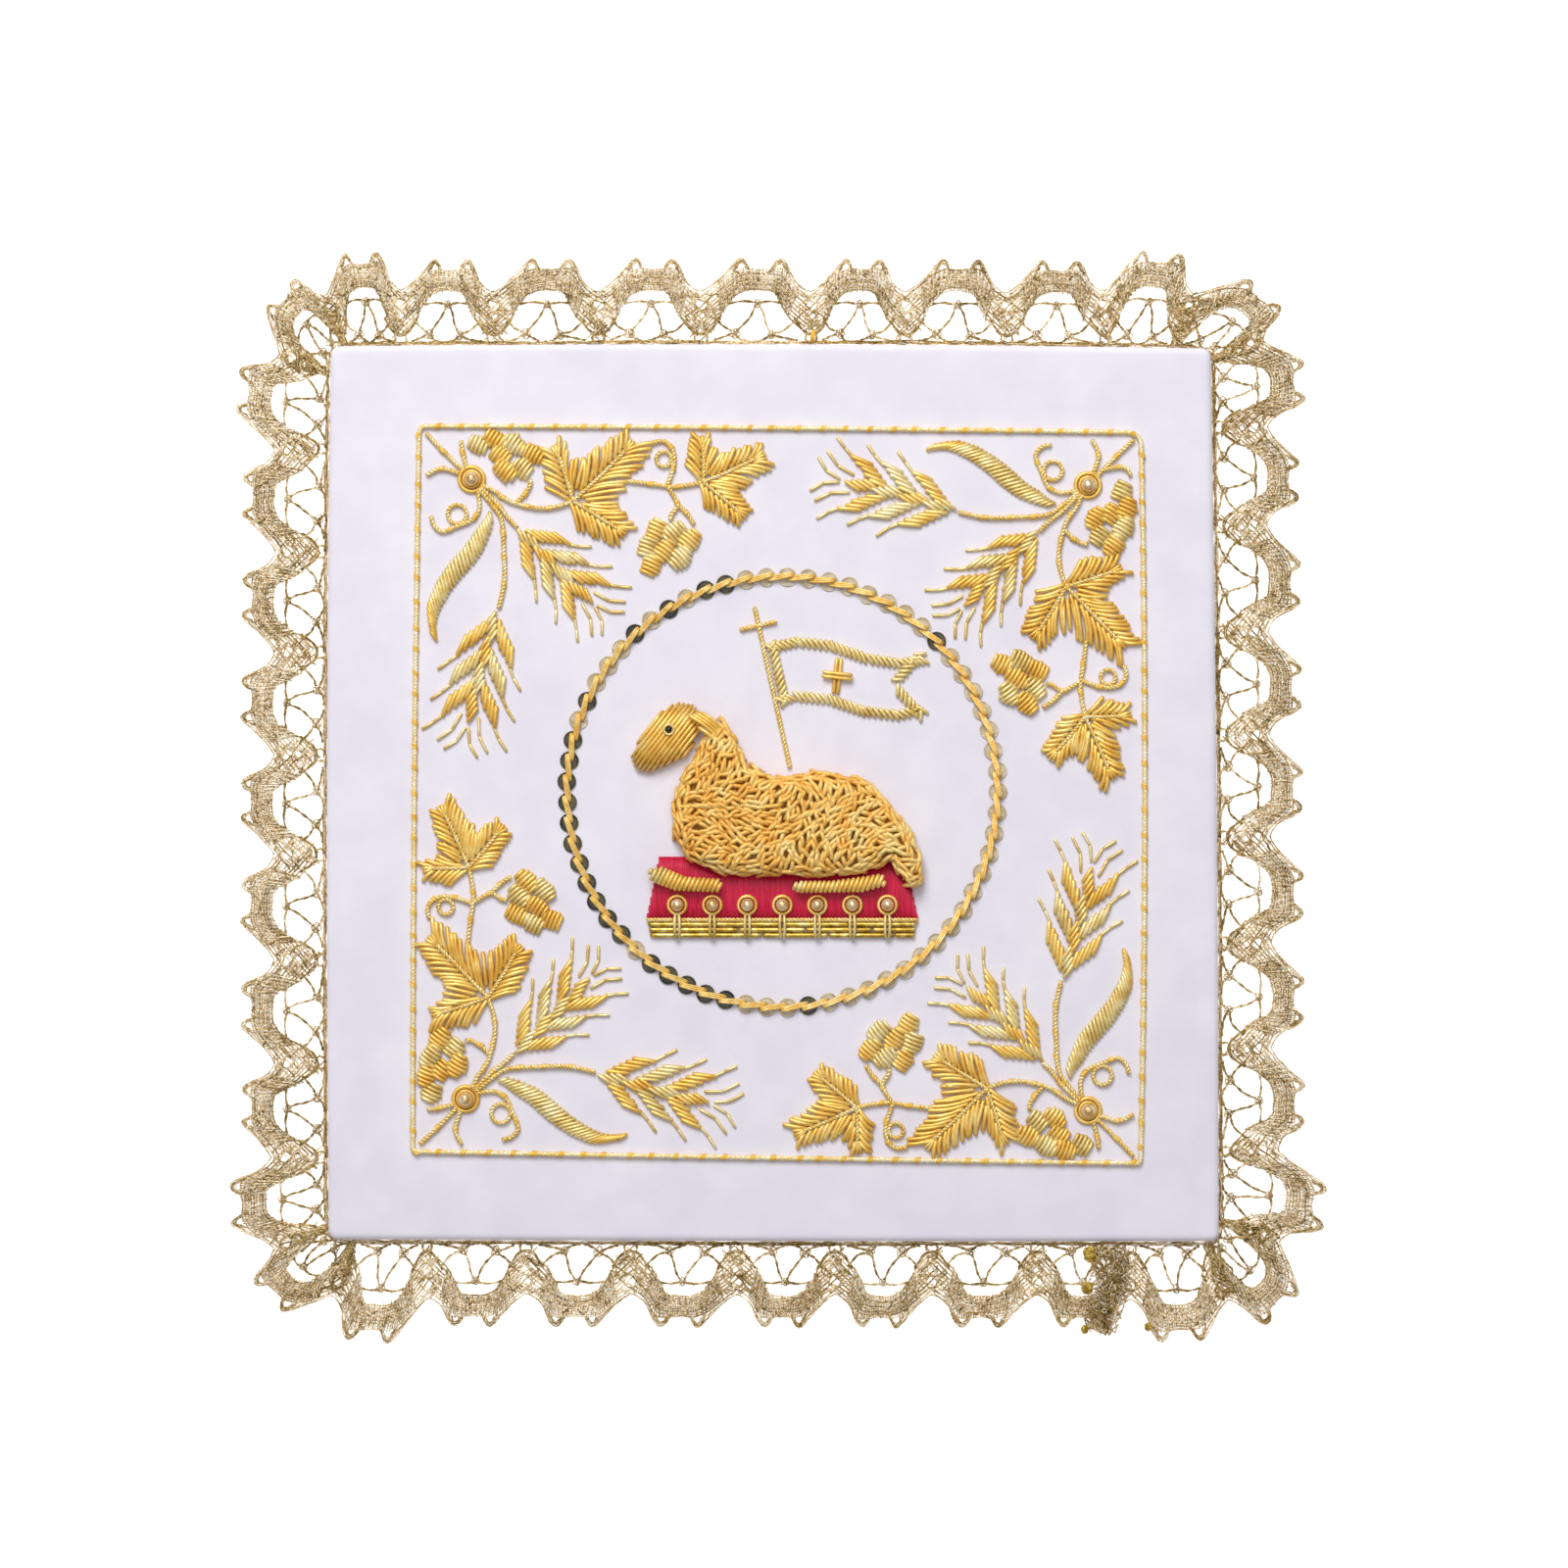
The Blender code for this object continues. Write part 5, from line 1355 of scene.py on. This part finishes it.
def book():
    """Work the book: satin-stitched cover, a cord along its edge and rows of page strips."""
    cover = in_medallion(BOOK_COVER)
    body = in_medallion(LAMB_BODY)
    floss = Threads()
    hand = random.Random(9)
    for start, end in hatch(cover, 90.0, 0.34):
        if end.y < start.y:
            start, end = end, start
        # A stitch that meets the lamb runs 0.6 mm in under its edge
        below = Vector((start.x, FAR_BELOW))
        cuts = [below.y + cut for cut in crossings(body, below, Vector((0.0, 1.0)))]
        if cuts and cuts[0] < end.y:
            end = Vector((end.x, cuts[0] + 0.6))
        points = []
        for i in range(6):
            t = i / 5
            spot = start.lerp(end, t)
            rise = 0.5 * math.sqrt(max(0.0, math.sin(math.pi * t)))
            points.append((spot.x + hand.uniform(-0.03, 0.03), spot.y, STITCH_BASE + 0.35 + rise))
        floss.lay(points, 0.26)
    floss.piece("book_satin", ["crimson"], "satin", ["book_cover"])
    pages = Threads()
    corners = [Vector(p) for p in in_medallion(BOOK_PAGES)]
    rows = 3
    for row in range(rows):
        level = (row + 0.75) / (rows + 0.35)
        left = corners[0].lerp(corners[3], level)
        right = corners[1].lerp(corners[2], level)
        joints = [0.0] + [(k + 0.35 * row) / 4 for k in range(1, 4)] + [1.0]
        for one, two in zip(joints, joints[1:]):
            start = left.lerp(right, one + 0.002)
            end = left.lerp(right, two - 0.002)
            pages.chip(start, end, 1.05, arch=0.1, base=STITCH_BASE + 0.1)
    pages.piece("page_strips", ["page"], "chips", ["book_pages"])
    edge = Threads()
    top_edge = [corners[0].lerp(corners[1], k / 8) + Vector((0, 0.1)) for k in range(9)]
    edge.twist(top_edge, STITCH_BASE + 0.9, 2, 1.0)
    edge.piece("page_cord", ["sprig"], "cord")


def seals():
    """Hang the seven seals: a bead in a bullion ring with a doubled ribbon loop below."""
    threads = Threads()
    middle = (SEAL_COUNT - 1) / 2
    spots = in_medallion([((order - middle) * SEAL_PITCH, SEAL_ROW) for order in range(SEAL_COUNT)])
    for x, y in spots:
        threads.ring((x, y), 1.8, STITCH_BASE + 1.5, 0.66, count=18)
        for k in (-1, 1):
            points = [(x + 0.35 * k, y - 1.6, STITCH_BASE + 1.6), (x + 0.5 * k, y - 3.6, STITCH_BASE + 2.0),
                      (x + 0.45 * k, y - 5.6, STITCH_BASE + 1.8), (x + 0.2 * k, y - 6.6, STITCH_BASE + 1.3)]
            threads.lay(points, 0.3, shade=1)
    threads.piece("seal_rings", ["purl", "pale_purl"], "chips")
    nodes = [f"seal_{order + 1}" for order in range(SEAL_COUNT)]
    ball("seal_beads", spots, 1.3, STITCH_BASE + 2.0, ["bead"], nodes)


def staff():
    """Couch the staff and its plain cross head in twisted cord."""
    threads = Threads()
    for line in (STAFF_ENDS, STAFF_CROSSBAR):
        marks = [Vector(p) for p in in_medallion(line)]
        threads.twist([marks[0], marks[0].lerp(marks[1], 0.5), marks[1]], STITCH_BASE + 0.6, 2, 1.05)
    threads.piece("staff_cord", ["sprig"], "cord", ["staff"])


def banner():
    """Edge the banner with slanting pale chips and put a plain cross on it."""
    threads = Threads()
    outline = in_medallion(BANNER)
    count = len(outline)
    area = sum(outline[i - 1][0] * outline[i][1] - outline[i][0] * outline[i - 1][1] for i in range(count))
    inward = 1.0 if area > 0 else -1.0
    for i in range(count):
        one, two = Vector(outline[i - 1]), Vector(outline[i])
        along = (two - one).normalized()
        across = left_of(along) * inward
        steps = max(1, round((two - one).length / 1.12))
        for k in range(steps):
            middle = one.lerp(two, (k + 0.5) / steps) + across * 0.95
            slant = along * 0.9 + across * 0.95
            threads.chip(middle - slant, middle + slant, 0.8, arch=0.2)
    centre = in_medallion([BANNER_CROSS])[0]
    for bearing, half, lift in ((84.0, 3.6, 0.05), (-6.0, 3.0, 0.6)):
        for aside in (-0.42, 0.42):
            threads.chip(polar(centre, bearing, -half, aside), polar(centre, bearing, half, aside), 0.8,
                         shade=1, base=STITCH_BASE + lift)
    threads.piece("banner_chips", ["pale_purl", "purl"], "chips", ["banner"])


# Studio

def studio():
    """Set a white floor, soft light from above and from the top edge, and the camera overhead."""
    shell = bmesh.new()
    bmesh.ops.create_grid(shell, x_segments=4, y_segments=4, size=3.0)
    mesh = mesh_from(shell, "floor")
    floor = into_scene("floor", mesh)
    mesh.materials.append(floor_paper())
    world = bpy.data.worlds.new("studio")
    world.use_nodes = True
    background = world.node_tree.nodes["Background"]
    background.inputs["Color"].default_value = (1.0, 1.0, 1.0, 1.0)
    background.inputs["Strength"].default_value = 0.22
    bpy.context.scene.world = world
    bpy.context.scene.view_settings.view_transform = "Standard"
    lamps = (("overhead", (0.0, 0.35, 1.7), 1.5, 8.8), ("key", (-0.2, 0.72, 0.85), 0.5, 8.6))
    for name, spot, size, power in lamps:
        light = bpy.data.lights.new(name, "AREA")
        light.size = size
        light.energy = power
        lamp = into_scene(name, light)
        lamp.location = spot
        aim = Vector((0, 0, 0)) - Vector(spot)
        lamp.rotation_euler = aim.to_track_quat("-Z", "Y").to_euler()
    camera_data = bpy.data.cameras.new("camera")
    camera_data.lens = LENS
    camera_data.sensor_width = SENSOR
    camera = into_scene("camera", camera_data)
    distance = VIEW_WIDTH * MM * LENS / SENSOR
    camera.location = (VIEW_CENTRE[0] * MM + PANEL_SHIFT[0] * MM, VIEW_CENTRE[1] * MM + PANEL_SHIFT[1] * MM,
                       distance + PANEL_TOP * MM)
    camera.rotation_euler = (0.0, 0.0, 0.0)
    bpy.context.scene.camera = camera


cover = satin_cover()
sides = lace_edging()
lace_join()
lace_tie()
border_cord()
sequin_ring()
medallion_cord()
for number in range(4):
    corner_sprig = Sprig(number)
    sprig_cords(corner_sprig)
    leaf_chips(corner_sprig)
    grape_chips(corner_sprig)
    wheat_chips(corner_sprig)
    blade_chips(corner_sprig)
    hub_rings(corner_sprig)
lamb_fleece()
lamb_head()
lamb_legs()
book()
seals()
staff()
banner()
studio()
